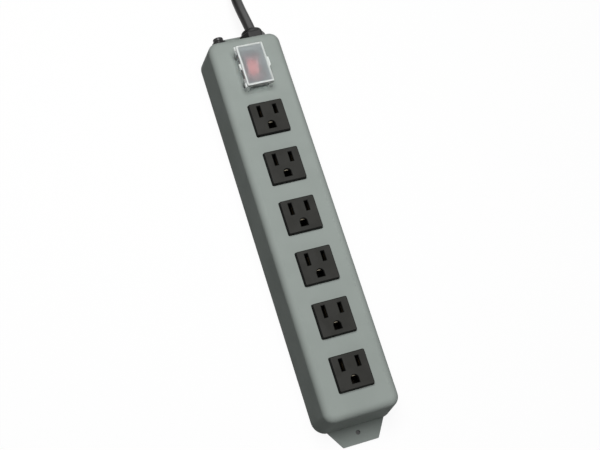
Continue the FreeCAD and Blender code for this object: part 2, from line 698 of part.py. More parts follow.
def make_rocker():
    """A rocker whose two finger faces meet in a shallow valley, with its near half pressed."""
    slope = math.tan(math.radians(ROCKER_SWING_DEG / 2))
    root = ROCKER_RADIUS ** 2 * (1 + slope ** 2) - ROCKER_CENTRE_RISE ** 2
    reach = (math.sqrt(root) - ROCKER_CENTRE_RISE * slope) / (1 + slope ** 2)
    rise = ROCKER_CENTRE_RISE + reach * slope
    skirt_y = math.sqrt(ROCKER_RADIUS ** 2 - ROCKER_SKIRT_DROP ** 2)

    def point(y, z):
        return V(-ROCKER_WIDTH / 2, SWITCH_Y + y, ROCKER_AXIS_Z + z)

    def half_profile(side):
        """From the middle of the valley, over the end of the rocker, to its lower tip."""
        corners = [(skirt_y, -ROCKER_SKIRT_DROP), (ROCKER_SHOULDER_Y, -ROCKER_SHOULDER_DROP),
                   (ROCKER_TIP_WIDTH / 2, -ROCKER_TIP_DROP), (0, -ROCKER_TIP_DROP)]
        corners = [point(side * y, z) for y, z in corners]
        edges = [Part.LineSegment(point(0, ROCKER_CENTRE_RISE), point(side * reach, rise)).toShape(),
                 Part.Arc(point(side * reach, rise), point(side * ROCKER_RADIUS, 0), corners[0]).toShape()]
        for start, end in zip(corners, corners[1:]):
            edges.append(Part.LineSegment(start, end).toShape())
        return edges

    profile = Part.Wire(Part.__sortEdges__(half_profile(1) + half_profile(-1)))
    rocker = Part.Face(profile).extrude(V(ROCKER_WIDTH, 0, 0))
    rocker = rocker.cut(rod(ROCKER_PIN_RADIUS + SEAT_GAP / 2, V(-ROCKER_WIDTH, SWITCH_Y, ROCKER_AXIS_Z),
                            V(ROCKER_WIDTH, SWITCH_Y, ROCKER_AXIS_Z)))
    rocker.rotate(V(0, SWITCH_Y, ROCKER_AXIS_Z), X_AXIS, ROCKER_SWING_DEG / 2)
    return rocker


def make_rocker_pin():
    half = CASE_WIDTH / 2 - SEAT_GAP
    return rod(ROCKER_PIN_RADIUS, V(-half, SWITCH_Y, ROCKER_AXIS_Z), V(half, SWITCH_Y, ROCKER_AXIS_Z))


def make_contact_seesaw():
    blade = centred_box(SEESAW_WIDTH, SEESAW_LENGTH, SEESAW_AXIS_Z - SEESAW_THICKNESS / 2,
                        SEESAW_AXIS_Z + SEESAW_THICKNESS / 2, 0, SWITCH_Y)
    blade.rotate(V(0, SWITCH_Y, SEESAW_AXIS_Z), X_AXIS, -SEESAW_SWING_DEG / 2)
    return blade


def make_switch_terminals():
    places = terminal_places()
    fulcrum_top = SEESAW_AXIS_Z - SEESAW_THICKNESS / 2 - HINGE_GAP
    blades = [centred_box(TERMINAL_WIDTH, TERMINAL_THICKNESS, TERMINAL_TIP_Z, fulcrum_top, 0, places[1])]
    for y, inward in ((places[0], 1), (places[2], -1)):
        blade = centred_box(TERMINAL_WIDTH, TERMINAL_THICKNESS, TERMINAL_TIP_Z, TERMINAL_PAD_TOP_Z, 0, y)
        pad_end = y + inward * TERMINAL_PAD_REACH
        pad = box(-SEESAW_WIDTH / 2, SEESAW_WIDTH / 2, min(y, pad_end), max(y, pad_end),
                  TERMINAL_PAD_TOP_Z - TERMINAL_THICKNESS, TERMINAL_PAD_TOP_Z)
        blades.append(blade.fuse(pad))
    return Part.Compound(blades)


def make_switch_lamp():
    z = CASE_FOOT_Z + CASE_FLOOR + LAMP_RADIUS + SEAT_GAP
    middle = SWITCH_Y + TERMINAL_SPACING / 2
    glass = rod(LAMP_RADIUS, V(0, middle - LAMP_LENGTH / 2, z), V(0, middle + LAMP_LENGTH / 2, z))
    rims = [e for e in glass.Edges if e.Closed]
    return glass.makeFillet(0.6 * LAMP_RADIUS, rims)


# ---------------------------------------------------------------- switch guard
def hinge_x():
    return -GUARD_WIDTH / 2 - HINGE_OUTSET


def hinge_z():
    return PANEL_Z + HINGE_RISE


def knuckle(y0, y1):
    """A hinge barrel between two places along the hinge."""
    return rod(HINGE_RADIUS, V(hinge_x(), y0, hinge_z()), V(hinge_x(), y1, hinge_z()))


def lid_hinge_spans():
    """Where the lid's hinge barrels are along Y: far corner, middle, near corner."""
    half = GUARD_LENGTH / 2
    corner = GUARD_LEG_ARM + GUARD_WALL / 2
    return [(SWITCH_Y + half - corner, SWITCH_Y + half),
            (SWITCH_Y - MID_LEG_LENGTH / 2, SWITCH_Y + MID_LEG_LENGTH / 2),
            (SWITCH_Y - half, SWITCH_Y - half + corner)]


def frame_hinge_spans():
    """Where the frame's two knuckles are along Y, each beside one of the lid's corner barrels."""
    far, _, near = lid_hinge_spans()
    return [(far[0] - HINGE_GAP - FRAME_KNUCKLE_LENGTH, far[0] - HINGE_GAP),
            (near[1] + HINGE_GAP, near[1] + HINGE_GAP + FRAME_KNUCKLE_LENGTH)]


def make_guard_frame():
    plate_edge = -BEZEL_WIDTH / 2 - GUARD_FRAME_MARGIN
    plate = rounded_block(-2 * plate_edge, BEZEL_LENGTH + 2 * GUARD_FRAME_MARGIN, BEZEL_CORNER, PANEL_Z,
                          PANEL_Z + GUARD_FRAME_THICKNESS, 0, SWITCH_Y)
    post_x = hinge_x() - HINGE_POST_THICKNESS / 2
    knuckles = []
    for y0, y1 in frame_hinge_spans():
        knuckles.append(knuckle(y0, y1))
        knuckles.append(box(post_x, post_x + HINGE_POST_THICKNESS, y0, y1, PANEL_Z, hinge_z()))
        knuckles.append(box(post_x, plate_edge + 1, y0, y1, PANEL_Z, PANEL_Z + GUARD_FRAME_THICKNESS))
    frame = plate.fuse(knuckles)
    bore = rod(HINGE_PIN_RADIUS + SEAT_GAP / 2, V(hinge_x(), SWITCH_Y - GUARD_LENGTH, hinge_z()),
               V(hinge_x(), SWITCH_Y + GUARD_LENGTH, hinge_z()))
    cutout = centred_box(CASE_WIDTH + 2 * CUTOUT_GAP, CASE_LENGTH + 2 * CUTOUT_GAP, PANEL_Z - 1,
                         PANEL_Z + 5, 0, SWITCH_Y)
    return frame.cut([bore, cutout])


def make_guard_lid():
    top = PANEL_Z + GUARD_HEIGHT
    under = top - GUARD_WALL
    skirt_foot = under - GUARD_SKIRT
    half_w = GUARD_WIDTH / 2
    half_l = GUARD_LENGTH / 2
    cover = rounded_block(GUARD_WIDTH, GUARD_LENGTH, GUARD_CORNER, skirt_foot, top, 0, SWITCH_Y)
    cover = cover.makeFillet(GUARD_TOP_EDGE, edges_at_height(cover, top))
    hollow = centred_box(GUARD_WIDTH - 2 * GUARD_WALL, GUARD_LENGTH - 2 * GUARD_WALL, skirt_foot - 1,
                         under, 0, SWITCH_Y)
    cover = cover.cut(hollow)

    foot = PANEL_Z + GUARD_LEG_GAP
    legs = []
    for side_y in (-1, 1):
        wall_y = SWITCH_Y + side_y * (half_l - GUARD_WALL)
        edge_y = SWITCH_Y + side_y * half_l
        inner_y = edge_y - side_y * (GUARD_LEG_ARM + GUARD_WALL / 2)
        legs.append(box(half_w - GUARD_WALL, half_w, min(edge_y, inner_y), max(edge_y, inner_y), foot,
                        skirt_foot + 0.5))
        for side_x in (-1, 1):
            inner_x = side_x * (half_w - GUARD_LEG_ARM)
            legs.append(box(min(inner_x, side_x * half_w), max(inner_x, side_x * half_w),
                            min(edge_y, wall_y), max(edge_y, wall_y), foot, skirt_foot + 0.5))
    notches = []
    for y0, y1 in frame_hinge_spans():
        notches.append(box(-half_w - 1, -half_w + GUARD_WALL + 1, y0 - HINGE_GAP, y1 + HINGE_GAP,
                           skirt_foot - 1, under))
    barrels = [knuckle(y0, y1) for y0, y1 in lid_hinge_spans()]
    tab = box(half_w - 0.5, half_w + FINGER_TAB_REACH, SWITCH_Y - FINGER_TAB_LENGTH / 2,
              SWITCH_Y + FINGER_TAB_LENGTH / 2, under - FINGER_TAB_THICKNESS / 2,
              under + FINGER_TAB_THICKNESS / 2)
    tip_x = half_w + FINGER_TAB_REACH
    corners = [e for e in tab.Edges if all(abs(v.X - tip_x) < 1e-4 for v in e.Vertexes)
               and e.Length < 2 * FINGER_TAB_THICKNESS]
    tab = tab.makeFillet(FINGER_TAB_CORNER, corners)
    lid = cover.cut(notches).fuse(legs + barrels + [tab])
    bore = rod(HINGE_PIN_RADIUS + RUNNING_GAP, V(hinge_x(), SWITCH_Y - GUARD_LENGTH, hinge_z()),
               V(hinge_x(), SWITCH_Y + GUARD_LENGTH, hinge_z()))
    return lid.cut(bore).removeSplitter()


def make_hinge_pin():
    half = GUARD_LENGTH / 2
    return rod(HINGE_PIN_RADIUS, V(hinge_x(), SWITCH_Y - half, hinge_z()),
               V(hinge_x(), SWITCH_Y + half, hinge_z()))


# ---------------------------------------------------------------- breaker
def case_front():
    """Where a fitting inside the end wall begins, behind the wall."""
    return -(SHELL_WALL + SEAT_GAP)


def breaker_case_front():
    return case_front() - BREAKER_SHOULDER_LENGTH


def make_breaker_case():
    front = breaker_case_front()
    case = box(-BREAKER_CASE_WIDTH / 2, BREAKER_CASE_WIDTH / 2, front - BREAKER_CASE_LENGTH, front,
               -BREAKER_CASE_HEIGHT / 2, BREAKER_CASE_HEIGHT / 2)
    long_edges = [e for e in case.Edges if abs(e.Length - BREAKER_CASE_LENGTH) < 1e-4]
    case = case.makeChamfer(BREAKER_CASE_EDGE, long_edges)
    shoulder = Part.makeCylinder(BREAKER_SHOULDER_RADIUS, BREAKER_SHOULDER_LENGTH + 1,
                                 V(0, front - 1, 0), Y_AXIS)
    bushing = Part.makeCylinder(BUSHING_RADIUS, BUSHING_REACH - front + 1, V(0, front - 1, 0), Y_AXIS)
    bore_depth = BUTTON_STEM_DEPTH + BUTTON_CAP_GAP
    bore = Part.makeCylinder(BUTTON_STEM_RADIUS + BUTTON_BORE_GAP, BUSHING_REACH + bore_depth + 1,
                             V(0, -bore_depth, 0), Y_AXIS)
    return on_end_wall(case.fuse([shoulder, bushing]).cut(bore), BREAKER_X)


def make_breaker_nut():
    nut = Part.makeCylinder(NUT_RADIUS, NUT_THICKNESS, V(0, SEAT_GAP, 0), Y_AXIS)
    rim = [e for e in nut.Edges if e.Closed and e.Vertexes[0].Y > NUT_THICKNESS / 2]
    nut = nut.makeChamfer(NUT_EDGE, rim)
    flutes = []
    for step in range(NUT_FLUTES):
        angle = 2 * math.pi * step / NUT_FLUTES
        flutes.append(Part.makeCylinder(NUT_FLUTE_RADIUS, NUT_THICKNESS + 2,
                                        V(NUT_RADIUS * math.cos(angle), -1, NUT_RADIUS * math.sin(angle)),
                                        Y_AXIS))
    hole = Part.makeCylinder(BUSHING_RADIUS + SEAT_GAP, NUT_THICKNESS + 2, V(0, -1, 0), Y_AXIS)
    return on_end_wall(nut.cut(flutes + [hole]), BREAKER_X)


def make_reset_button():
    cap_start = BUSHING_REACH + BUTTON_CAP_GAP
    stem = Part.makeCylinder(BUTTON_STEM_RADIUS, cap_start + BUTTON_STEM_DEPTH + 0.5,
                             V(0, -BUTTON_STEM_DEPTH, 0), Y_AXIS)
    cap = Part.makeCylinder(BUTTON_CAP_RADIUS, BUTTON_CAP_LENGTH, V(0, cap_start, 0), Y_AXIS)
    rim = [e for e in cap.Edges if e.Closed and e.Vertexes[0].Y > cap_start + BUTTON_CAP_LENGTH / 2]
    return on_end_wall(cap.makeFillet(BUTTON_CAP_EDGE, rim).fuse(stem), BREAKER_X)


def make_breaker_terminals():
    back = breaker_case_front() - BREAKER_CASE_LENGTH
    blades = []
    for side in (-1, 1):
        x = side * BREAKER_TERMINAL_SPACING / 2
        blades.append(box(x - TERMINAL_THICKNESS / 2, x + TERMINAL_THICKNESS / 2,
                          back - BREAKER_TERMINAL_LENGTH, back, -TERMINAL_WIDTH / 2, TERMINAL_WIDTH / 2))
    return on_end_wall(Part.Compound(blades), BREAKER_X)


# ---------------------------------------------------------------- strain relief
def hexagon(flats, corner, y0, length):
    """A six-sided head along Y with flat top and bottom and softened corners."""
    radius = flats / math.sqrt(3)
    angles = [math.radians(60 * step) for step in range(6)]
    points = [(radius * math.cos(a), y0, radius * math.sin(a)) for a in angles]
    head = polygon_prism(points, V(0, length, 0))
    uprights = [e for e in head.Edges if abs(e.Vertexes[0].Y - e.Vertexes[1].Y) > length / 2]
    return head.makeFillet(corner, uprights)


def make_strain_relief():
    head = hexagon(RELIEF_HEAD_FLATS, RELIEF_HEAD_CORNER, SEAT_GAP, RELIEF_HEAD_THICKNESS)
    outer_y = SEAT_GAP + RELIEF_HEAD_THICKNESS
    rim = [e for e in head.Edges if all(abs(v.Y - outer_y) < 1e-4 for v in e.Vertexes)]
    head = head.makeChamfer(RELIEF_HEAD_EDGE, rim)
    dome = Part.makeCylinder(RELIEF_DOME_RADIUS, RELIEF_DOME_LENGTH + 1, V(0, outer_y - 1, 0), Y_AXIS)
    mouth_y = outer_y + RELIEF_DOME_LENGTH
    front = [e for e in dome.Edges if e.Closed and abs(e.Vertexes[0].Y - mouth_y) < 1e-4]
    dome = dome.makeFillet(RELIEF_DOME_ROUND, front)
    barrel = Part.makeCylinder(RELIEF_BARREL_RADIUS, RELIEF_BARREL_LENGTH + SEAT_GAP,
                               V(0, -RELIEF_BARREL_LENGTH, 0), Y_AXIS)
    bore_length = RELIEF_BARREL_LENGTH + relief_mouth_out() + 2
    bore = Part.makeCylinder(CORD_DIAMETER / 2 + CORD_BORE_GAP, bore_length,
                             V(0, -RELIEF_BARREL_LENGTH - 1, 0), Y_AXIS)
    bore_radius = CORD_DIAMETER / 2 + CORD_BORE_GAP
    flare = Part.makeCone(bore_radius, bore_radius + RELIEF_MOUTH_FLARE, RELIEF_MOUTH_FLARE,
                          V(0, mouth_y - RELIEF_MOUTH_FLARE, 0), Y_AXIS)
    return on_end_wall(head.fuse([dome, barrel]).cut([bore, flare]), RELIEF_X)


def make_relief_locknut():
    start = case_front() - LOCKNUT_THICKNESS
    nut = hexagon(LOCKNUT_RADIUS * math.sqrt(3), RELIEF_HEAD_EDGE, start, LOCKNUT_THICKNESS)
    hole = Part.makeCylinder(RELIEF_BARREL_RADIUS + SEAT_GAP, LOCKNUT_THICKNESS + 2,
                             V(0, start - 1, 0), Y_AXIS)
    return on_end_wall(nut.cut(hole), RELIEF_X)


def relief_mouth_out():
    """How far the strain relief's mouth stands out from the wall."""
    return SEAT_GAP + RELIEF_HEAD_THICKNESS + RELIEF_DOME_LENGTH


def make_cord_jacket_end():
    start = -JACKET_END_DEPTH
    length = relief_mouth_out() - JACKET_SHORT_OF_MOUTH - start
    jacket = Part.makeCylinder(CORD_DIAMETER / 2, length, V(0, start, 0), Y_AXIS)
    return on_end_wall(jacket, RELIEF_X)


# ---------------------------------------------------------------- bonding and wires
def bond_top():
    return BOND_SHELF_Z + BOND_SHELF_THICKNESS


def make_ground_lugs():
    """Two ring lugs on one screw: one for the cord's ground wire and one for the ground bus."""
    lugs = []
    for layer, side in ((0, 1), (1, -1)):
        z = bond_top() + layer * RING_THICKNESS
        ring = rod(RING_OUTER_RADIUS, V(BOND_X, BOND_Y, z), V(BOND_X, BOND_Y, z + RING_THICKNESS))
        barrel_start = BOND_Y + side * (BOND_HEAD_RADIUS + 1)
        barrel_z = z + RING_BARREL_RADIUS
        barrel = rod(RING_BARREL_RADIUS, V(BOND_X, barrel_start, barrel_z),
                     V(BOND_X, barrel_start + side * RING_BARREL_LENGTH, barrel_z))
        neck = box(BOND_X - 1.5, BOND_X + 1.5, min(BOND_Y, barrel_start + side),
                   max(BOND_Y, barrel_start + side), z, z + RING_THICKNESS)
        hole = rod(BOND_SCREW_RADIUS + SEAT_GAP, V(BOND_X, BOND_Y, z - 1), V(BOND_X, BOND_Y, z + 2))
        lugs.append(ring.fuse([neck, barrel]).cut(hole))
    return Part.Compound(lugs)


def make_ground_screw():
    head_foot = bond_top() + 2 * RING_THICKNESS + SEAT_GAP
    head = rod(BOND_HEAD_RADIUS, V(BOND_X, BOND_Y, head_foot),
               V(BOND_X, BOND_Y, head_foot + BOND_HEAD_HEIGHT))
    shank = rod(BOND_SCREW_RADIUS, V(BOND_X, BOND_Y, head_foot - 2 * RING_THICKNESS - BOND_SCREW_DEPTH),
                V(BOND_X, BOND_Y, head_foot + 0.5))
    return head.fuse(shank)


def cord_core(angle_deg, beyond=0.0):
    """Where one of the three conductors leaves the jacket's inner end, or a point beyond it."""
    angle = math.radians(angle_deg)
    return end_wall_point(RELIEF_X, -JACKET_END_DEPTH - beyond, CORE_RADIUS * math.sin(angle),
                          CORE_RADIUS * math.cos(angle))


def breaker_terminal_end(side, beyond=0.0):
    """The inner end of a breaker terminal, or a point straight beyond it."""
    out = breaker_case_front() - BREAKER_CASE_LENGTH - BREAKER_TERMINAL_LENGTH - beyond
    return end_wall_point(BREAKER_X, out, 0, side * BREAKER_TERMINAL_SPACING / 2)


def bus_tab_face(x, z):
    return V(x, slot_y(0) + BUS_BEYOND_FIRST, z)


def make_wires():
    """The inner wires, each with its own route."""
    side_terminal = TERMINAL_WIDTH / 2
    blade_face = TERMINAL_THICKNESS / 2
    lug_z = bond_top() + RING_BARREL_RADIUS
    lug_reach = BOND_HEAD_RADIUS + 1 + RING_BARREL_LENGTH
    live_angle = 150
    neutral_angle = 30
    ground_angle = 270
    neutral_x = cord_core(neutral_angle).x
    live_core_x = cord_core(live_angle).x
    live_end_x = breaker_terminal_end(-1).x
    supply_x = breaker_terminal_end(1).x
    load_y, supply_y, _ = terminal_places()
    live_x = SLOT_SPACING / 2
    tab_y = bus_tab_face(0, 0).y
    cross_y = tab_y + 8.8
    low_z = 4.4
    return {
        "wire_cord_to_breaker": [
            cord_core(live_angle), cord_core(live_angle, 8), V(live_core_x, load_y + 6.5, low_z),
            V(live_end_x, load_y + 4, low_z), V(live_end_x, load_y - 1, low_z + 4),
            breaker_terminal_end(-1, 6), breaker_terminal_end(-1)],
        "wire_breaker_to_switch": [
            breaker_terminal_end(1), breaker_terminal_end(1, 6), V(supply_x + 1.5, load_y, 9.5),
            V(supply_x + 4, supply_y, 9.5), V(-side_terminal, supply_y, 9.5)],
        "wire_switch_to_live_bus": [
            V(0, load_y - blade_face, 9.5), V(0, tab_y + 8, 9.5), V(live_x, tab_y + 5.5, 11.5),
            V(live_x, tab_y + 5, 20.5), bus_tab_face(live_x, 20.5)],
        "wire_neutral": [
            cord_core(neutral_angle), cord_core(neutral_angle, 11), V(neutral_x, cross_y, 15.2),
            V(-live_x, cross_y, 15.2), V(-live_x, tab_y + 6, 24.5), bus_tab_face(-live_x, 24.5)],
        "wire_ground": [
            cord_core(ground_angle), cord_core(ground_angle, 5), V(BOND_X, BOND_Y + lug_reach + 5, lug_z),
            V(BOND_X, BOND_Y + lug_reach, lug_z)],
        "wire_ground_bus": [
            bus_tab_face(0, 26.0), V(0, tab_y + 5, 26.0), V(BOND_X, tab_y + 4, 25.5),
            V(BOND_X, tab_y - 4, 22.0), V(BOND_X, tab_y - 3, lug_z + RING_THICKNESS),
            V(BOND_X, BOND_Y - lug_reach, lug_z + RING_THICKNESS)],
    }


# ---------------------------------------------------------------- stored cord
def hank_outer_radius():
    return HANK_FOLD_RADIUS + (HANK_COLUMNS - 0.5) * CORD_DIAMETER


def near_fold_y():
    """The centre of the hank's near half circle."""
    return HANK_NEAR_TIP_Y + hank_outer_radius()


def far_fold_y():
    """The centre of the hank's far half circle."""
    return near_fold_y() + HANK_STRAIGHT


def outer_column_x():
    """The centre of the outer column of turns on the side where the cord comes in."""
    return HANK_X + HANK_FOLD_RADIUS + CORD_DIAMETER


def inner_column_x():
    """The centre of the inner column of turns on the side where the cord's tail leaves."""
    return HANK_X - HANK_FOLD_RADIUS


def cord_route():
    """The free cord: out of the strain relief, down to the floor and into the hank."""
    floor_z = CORD_DIAMETER / 2
    x = outer_column_x()
    return [end_wall_point(RELIEF_X, relief_mouth_out()), V(12.0, END_Y + 17.3, 18.5),
            V(11.4, END_Y + 30.8, 14.7), V(11.7, END_Y + 44.3, 10.3), V(13.8, END_Y + 58.3, 6.2),
            V(18.3, END_Y + 72.3, floor_z), V(x, END_Y + 86.3, floor_z), V(x, near_fold_y(), floor_z)]


def cord_tail_route():
    """The cord's last stretch: off the hank's inner lower turn, across and up to the plug."""
    start_y = far_fold_y() - TAIL_START_FROM_FOLD - TAIL_START_GAP
    x = inner_column_x()
    floor_z = CORD_DIAMETER / 2
    return [V(x, start_y, floor_z), V(x + 0.5, start_y - 12.4, floor_z),
            V(PLUG_X - 20.4, start_y - 24.9, floor_z), V(PLUG_X - 12.9, start_y - 37.3, 5.6),
            V(PLUG_X - 6.0, start_y - 49.7, 9.0), V(PLUG_X - 1.0, PLUG_REAR_Y + 12.5, 11.9),
            V(PLUG_X, PLUG_REAR_Y, PLUG_AXIS_Z)]


def oval_block(radius, z0, z1):
    """A block with the hank's plan: two half circles joined by the straight sides."""
    block = box(HANK_X - radius, HANK_X + radius, near_fold_y(), far_fold_y(), z0, z1)
    ends = [rod(radius, V(HANK_X, y, z0), V(HANK_X, y, z1)) for y in (near_fold_y(), far_fold_y())]
    return block.fuse(ends).removeSplitter()


def make_cord_hank():
    """The outer form of the tied turns, open where the cord comes in and where its tail leaves."""
    outer_r = hank_outer_radius()
    inner_r = HANK_FOLD_RADIUS - CORD_DIAMETER / 2
    ring = oval_block(outer_r, 0, HANK_HEIGHT)
    opening = oval_block(inner_r, -1, HANK_HEIGHT + 1)

    corner = box(HANK_X, HANK_X + outer_r + 1, HANK_NEAR_TIP_Y - 1, near_fold_y(), -1, CORD_DIAMETER)
    entry = corner.cut(rod(HANK_FOLD_RADIUS + CORD_DIAMETER / 2, V(HANK_X, near_fold_y(), -1),
                           V(HANK_X, near_fold_y(), HANK_HEIGHT)))
    column_x = inner_column_x()
    half = CORD_DIAMETER / 2
    tail_y = far_fold_y() - TAIL_START_FROM_FOLD
    leave = box(column_x - half, column_x + half + 1, tail_y - TAIL_CLEARING, tail_y, -1, CORD_DIAMETER)
    settled = box(column_x - half, column_x + half + 1, near_fold_y(), tail_y - TAIL_CLEARING - half,
                  CORD_DIAMETER, HANK_HEIGHT + 1)
    channels = []
    for x, y in tie_places():
        channels.append(centred_box(HANK_COLUMNS * CORD_DIAMETER, TIE_WIDTH, -1,
                                    TIE_THICKNESS + SEAT_GAP, x, y))
    return ring.cut([opening, entry, leave, settled] + channels)


def tie_places():
    """The middle of each tied side: halfway along one, by the far fold on the other."""
    side_x = HANK_FOLD_RADIUS + (HANK_COLUMNS - 1) * CORD_DIAMETER / 2
    middle_y = (near_fold_y() + far_fold_y()) / 2
    by_fold_y = far_fold_y() - TIE_WIDTH / 2 - SEAT_GAP
    return [(HANK_X + side_x, middle_y), (HANK_X - side_x, by_fold_y)]


def make_hank_ties():
    """A strap round each long side of the hank."""
    straps = []
    inner_width = HANK_COLUMNS * CORD_DIAMETER + 2 * SEAT_GAP
    inner_top = HANK_HEIGHT + SEAT_GAP
    for x, y in tie_places():
        outer = centred_box(inner_width + 2 * TIE_THICKNESS, TIE_WIDTH, 0, inner_top + TIE_THICKNESS, x, y)
        bends = [e for e in outer.Edges if abs(e.Length - TIE_WIDTH) < 1e-4]
        outer = outer.makeFillet(TIE_THICKNESS, bends)
        inner = centred_box(inner_width, TIE_WIDTH + 2, TIE_THICKNESS, inner_top, x, y)
        straps.append(outer.cut(inner))
    return Part.Compound(straps)


# ---------------------------------------------------------------- plug
def plug_nose_y():
    """The plug's blade face. The plug points back towards the strip."""
    return PLUG_REAR_Y - PLUG_RELIEF_LENGTH - PLUG_LENGTH


def make_plug_body():
    rear = rounded_rectangle(2 * PLUG_SHOULDER_RADIUS, 2 * PLUG_SHOULDER_RADIUS, PLUG_CORNER, 0)
    front = rounded_rectangle(PLUG_WIDTH, PLUG_HEIGHT, PLUG_CORNER, PLUG_SHOULDER_LENGTH)
    shoulder = frustum(rear, front)
    block = Part.Face(front).extrude(V(0, 0, PLUG_LENGTH - PLUG_SHOULDER_LENGTH))
    block = block.makeFillet(PLUG_NOSE_EDGE, edges_at_height(block, PLUG_LENGTH))
    relief = Part.makeCone(CORD_DIAMETER / 2 + PLUG_RELIEF_WALL, PLUG_RELIEF_RADIUS, PLUG_RELIEF_LENGTH,
                           V(0, 0, -PLUG_RELIEF_LENGTH), Z_AXIS)
    plug = shoulder.fuse([block, relief])
    plug.rotate(V(0, 0, 0), X_AXIS, 90)
    plug.translate(V(PLUG_X, PLUG_REAR_Y - PLUG_RELIEF_LENGTH, PLUG_AXIS_Z))
    return plug.cut(tube_along(cord_tail_route(), CORD_DIAMETER / 2)[0])


def make_plug_blades():
    y = plug_nose_y()
    z = PLUG_AXIS_Z + BLADE_RISE
    blades = []
    for side, height in ((-1, LINE_BLADE_HEIGHT), (1, NEUTRAL_BLADE_HEIGHT)):
        x = PLUG_X + side * SLOT_SPACING / 2
        blade = box(x - BLADE_THICKNESS / 2, x + BLADE_THICKNESS / 2, y - BLADE_LENGTH, y,
                    z - height / 2, z + height / 2)
        tip = [e for e in blade.Edges if abs(e.Length - BLADE_THICKNESS) < 1e-4
               and e.Vertexes[0].Y < y - BLADE_LENGTH / 2]
        blades.append(blade.makeChamfer(BLADE_TIP, tip))
    return Part.Compound(blades)


def make_plug_ground_pin():
    y = plug_nose_y()
    z = PLUG_AXIS_Z + BLADE_RISE - GROUND_OFFSET
    tip = V(PLUG_X, y - GROUND_PIN_LENGTH + GROUND_PIN_RADIUS, z)
    return rod(GROUND_PIN_RADIUS, V(PLUG_X, y, z), tip).fuse(Part.makeSphere(GROUND_PIN_RADIUS, tip))


# ---------------------------------------------------------------- build
def check_tube(name, solid, length, radii, radius):
    """Print a tube's arcs and compare its volume with its section times its length."""
    share = solid.Volume / (math.pi * radius ** 2 * length)
    print("%s: %.1f long, radii %s, volume share %.4f"
          % (name, length, " ".join("%.1f" % r for r in radii), share))


def main():
    os.makedirs("parts", exist_ok=True)
    nodes = {
        "housing_shell": make_housing_shell(),
        "base_plate": make_base_plate(),
        "base_screws": make_base_screws(),
        "live_bus": make_blade_bus(1),
        "neutral_bus": make_blade_bus(-1),
        "ground_bus": make_ground_bus(),
        "bus_tray": make_bus_tray(),
        "switch_case": make_switch_case(),
        "rocker": make_rocker(),
        "rocker_pin": make_rocker_pin(),
        "contact_seesaw": make_contact_seesaw(),
        "switch_terminals": make_switch_terminals(),
        "switch_lamp": make_switch_lamp(),
        "guard_frame": make_guard_frame(),
        "guard_lid": make_guard_lid(),
        "guard_hinge_pin": make_hinge_pin(),
        "breaker_case": make_breaker_case(),
        "breaker_nut": make_breaker_nut(),
        "reset_button": make_reset_button(),
        "breaker_terminals": make_breaker_terminals(),
        "strain_relief": make_strain_relief(),
        "relief_locknut": make_relief_locknut(),
        "cord_jacket_end": make_cord_jacket_end(),
        "ground_lugs": make_ground_lugs(),
        "ground_screw": make_ground_screw(),
        "cord_hank": make_cord_hank(),
        "hank_ties": make_hank_ties(),
        "plug_body": make_plug_body(),
        "plug_blades": make_plug_blades(),
        "plug_ground_pin": make_plug_ground_pin(),
    }
    for index in range(OUTLET_COUNT):
        nodes["outlet_%d" % (index + 1)] = make_outlet(index)
    tubes = {name: (points, WIRE_RADIUS) for name, points in make_wires().items()}
    tubes["cord_tube"] = (cord_route(), CORD_DIAMETER / 2)
    tubes["cord_tail"] = (cord_tail_route(), CORD_DIAMETER / 2)
    for name, (points, radius) in tubes.items():
        nodes[name], length, radii = tube_along(points, radius)
        check_tube(name, nodes[name], length, radii, radius)
    for name, shape in nodes.items():
        save(name, shape)
    print("%d nodes" % len(nodes))


main()
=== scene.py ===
"""The looks of a six-outlet power strip: painted steel, black nylon outlets, a frosted switch guard, a cord.

Sizes are in metres in the part's own frame. The strip lies along Y on z = 0, its cord end is at +Y, and
+X is across it. The CAD nodes keep their places, and new pieces stand where their nodes do.
"""

import logging
import math
from collections.abc import Callable, Iterator
from contextlib import contextmanager
from dataclasses import dataclass
from enum import Enum

import bmesh
import bpy
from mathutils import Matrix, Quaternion, Vector


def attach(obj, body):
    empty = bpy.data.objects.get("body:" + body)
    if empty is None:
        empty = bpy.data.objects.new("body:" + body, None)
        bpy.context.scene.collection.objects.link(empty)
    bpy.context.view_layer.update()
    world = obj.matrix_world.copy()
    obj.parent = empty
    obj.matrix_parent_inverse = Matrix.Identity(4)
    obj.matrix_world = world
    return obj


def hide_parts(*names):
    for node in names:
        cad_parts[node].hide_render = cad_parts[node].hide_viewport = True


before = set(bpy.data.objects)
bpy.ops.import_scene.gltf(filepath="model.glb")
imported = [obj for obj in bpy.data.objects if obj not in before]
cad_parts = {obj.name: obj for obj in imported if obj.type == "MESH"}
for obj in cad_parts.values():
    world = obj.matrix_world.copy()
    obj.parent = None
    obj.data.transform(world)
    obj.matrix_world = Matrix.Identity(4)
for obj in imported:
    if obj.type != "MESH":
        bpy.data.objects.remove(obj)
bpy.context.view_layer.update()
LOG = logging.getLogger("power_strip")
HAIR = 0.00002  # the slack when two places are compared
DOUBLE = 0.000001  # vertices closer than this are one
SQUARE_ON = 0.99  # the part of a normal that points one way on a face that looks that way
NEARLY_UP = 0.9  # the same on a face that slopes a little
IN_LINE = 0.999  # the same for an edge that runs along a direction
PAINTED_LIGHT_RANGE = (0.78, 0.98)  # the upward part of the normal, from a side to the top of a rounded piece, over which painted shade on the sides turns into a painted highlight on top
FLAT = (0.96, 0.995)  # the same, from a rounded edge, which carries painted shade on the outlets, to a flat face
SMOOTH_BELOW = 35.0  # edges sharper than this many degrees show on new pieces

Piece = bpy.types.Object
Node = bpy.types.Node
Socket = bpy.types.NodeSocket
Triple = tuple[float, float, float]
Place = Vector | Triple
Test = Callable[[object, Vector], bool]


class Body(Enum):
    """The bodies that pieces ride on."""

    STRIP = "strip"
    LID = "guard_lid"
    ROCKER = "rocker"


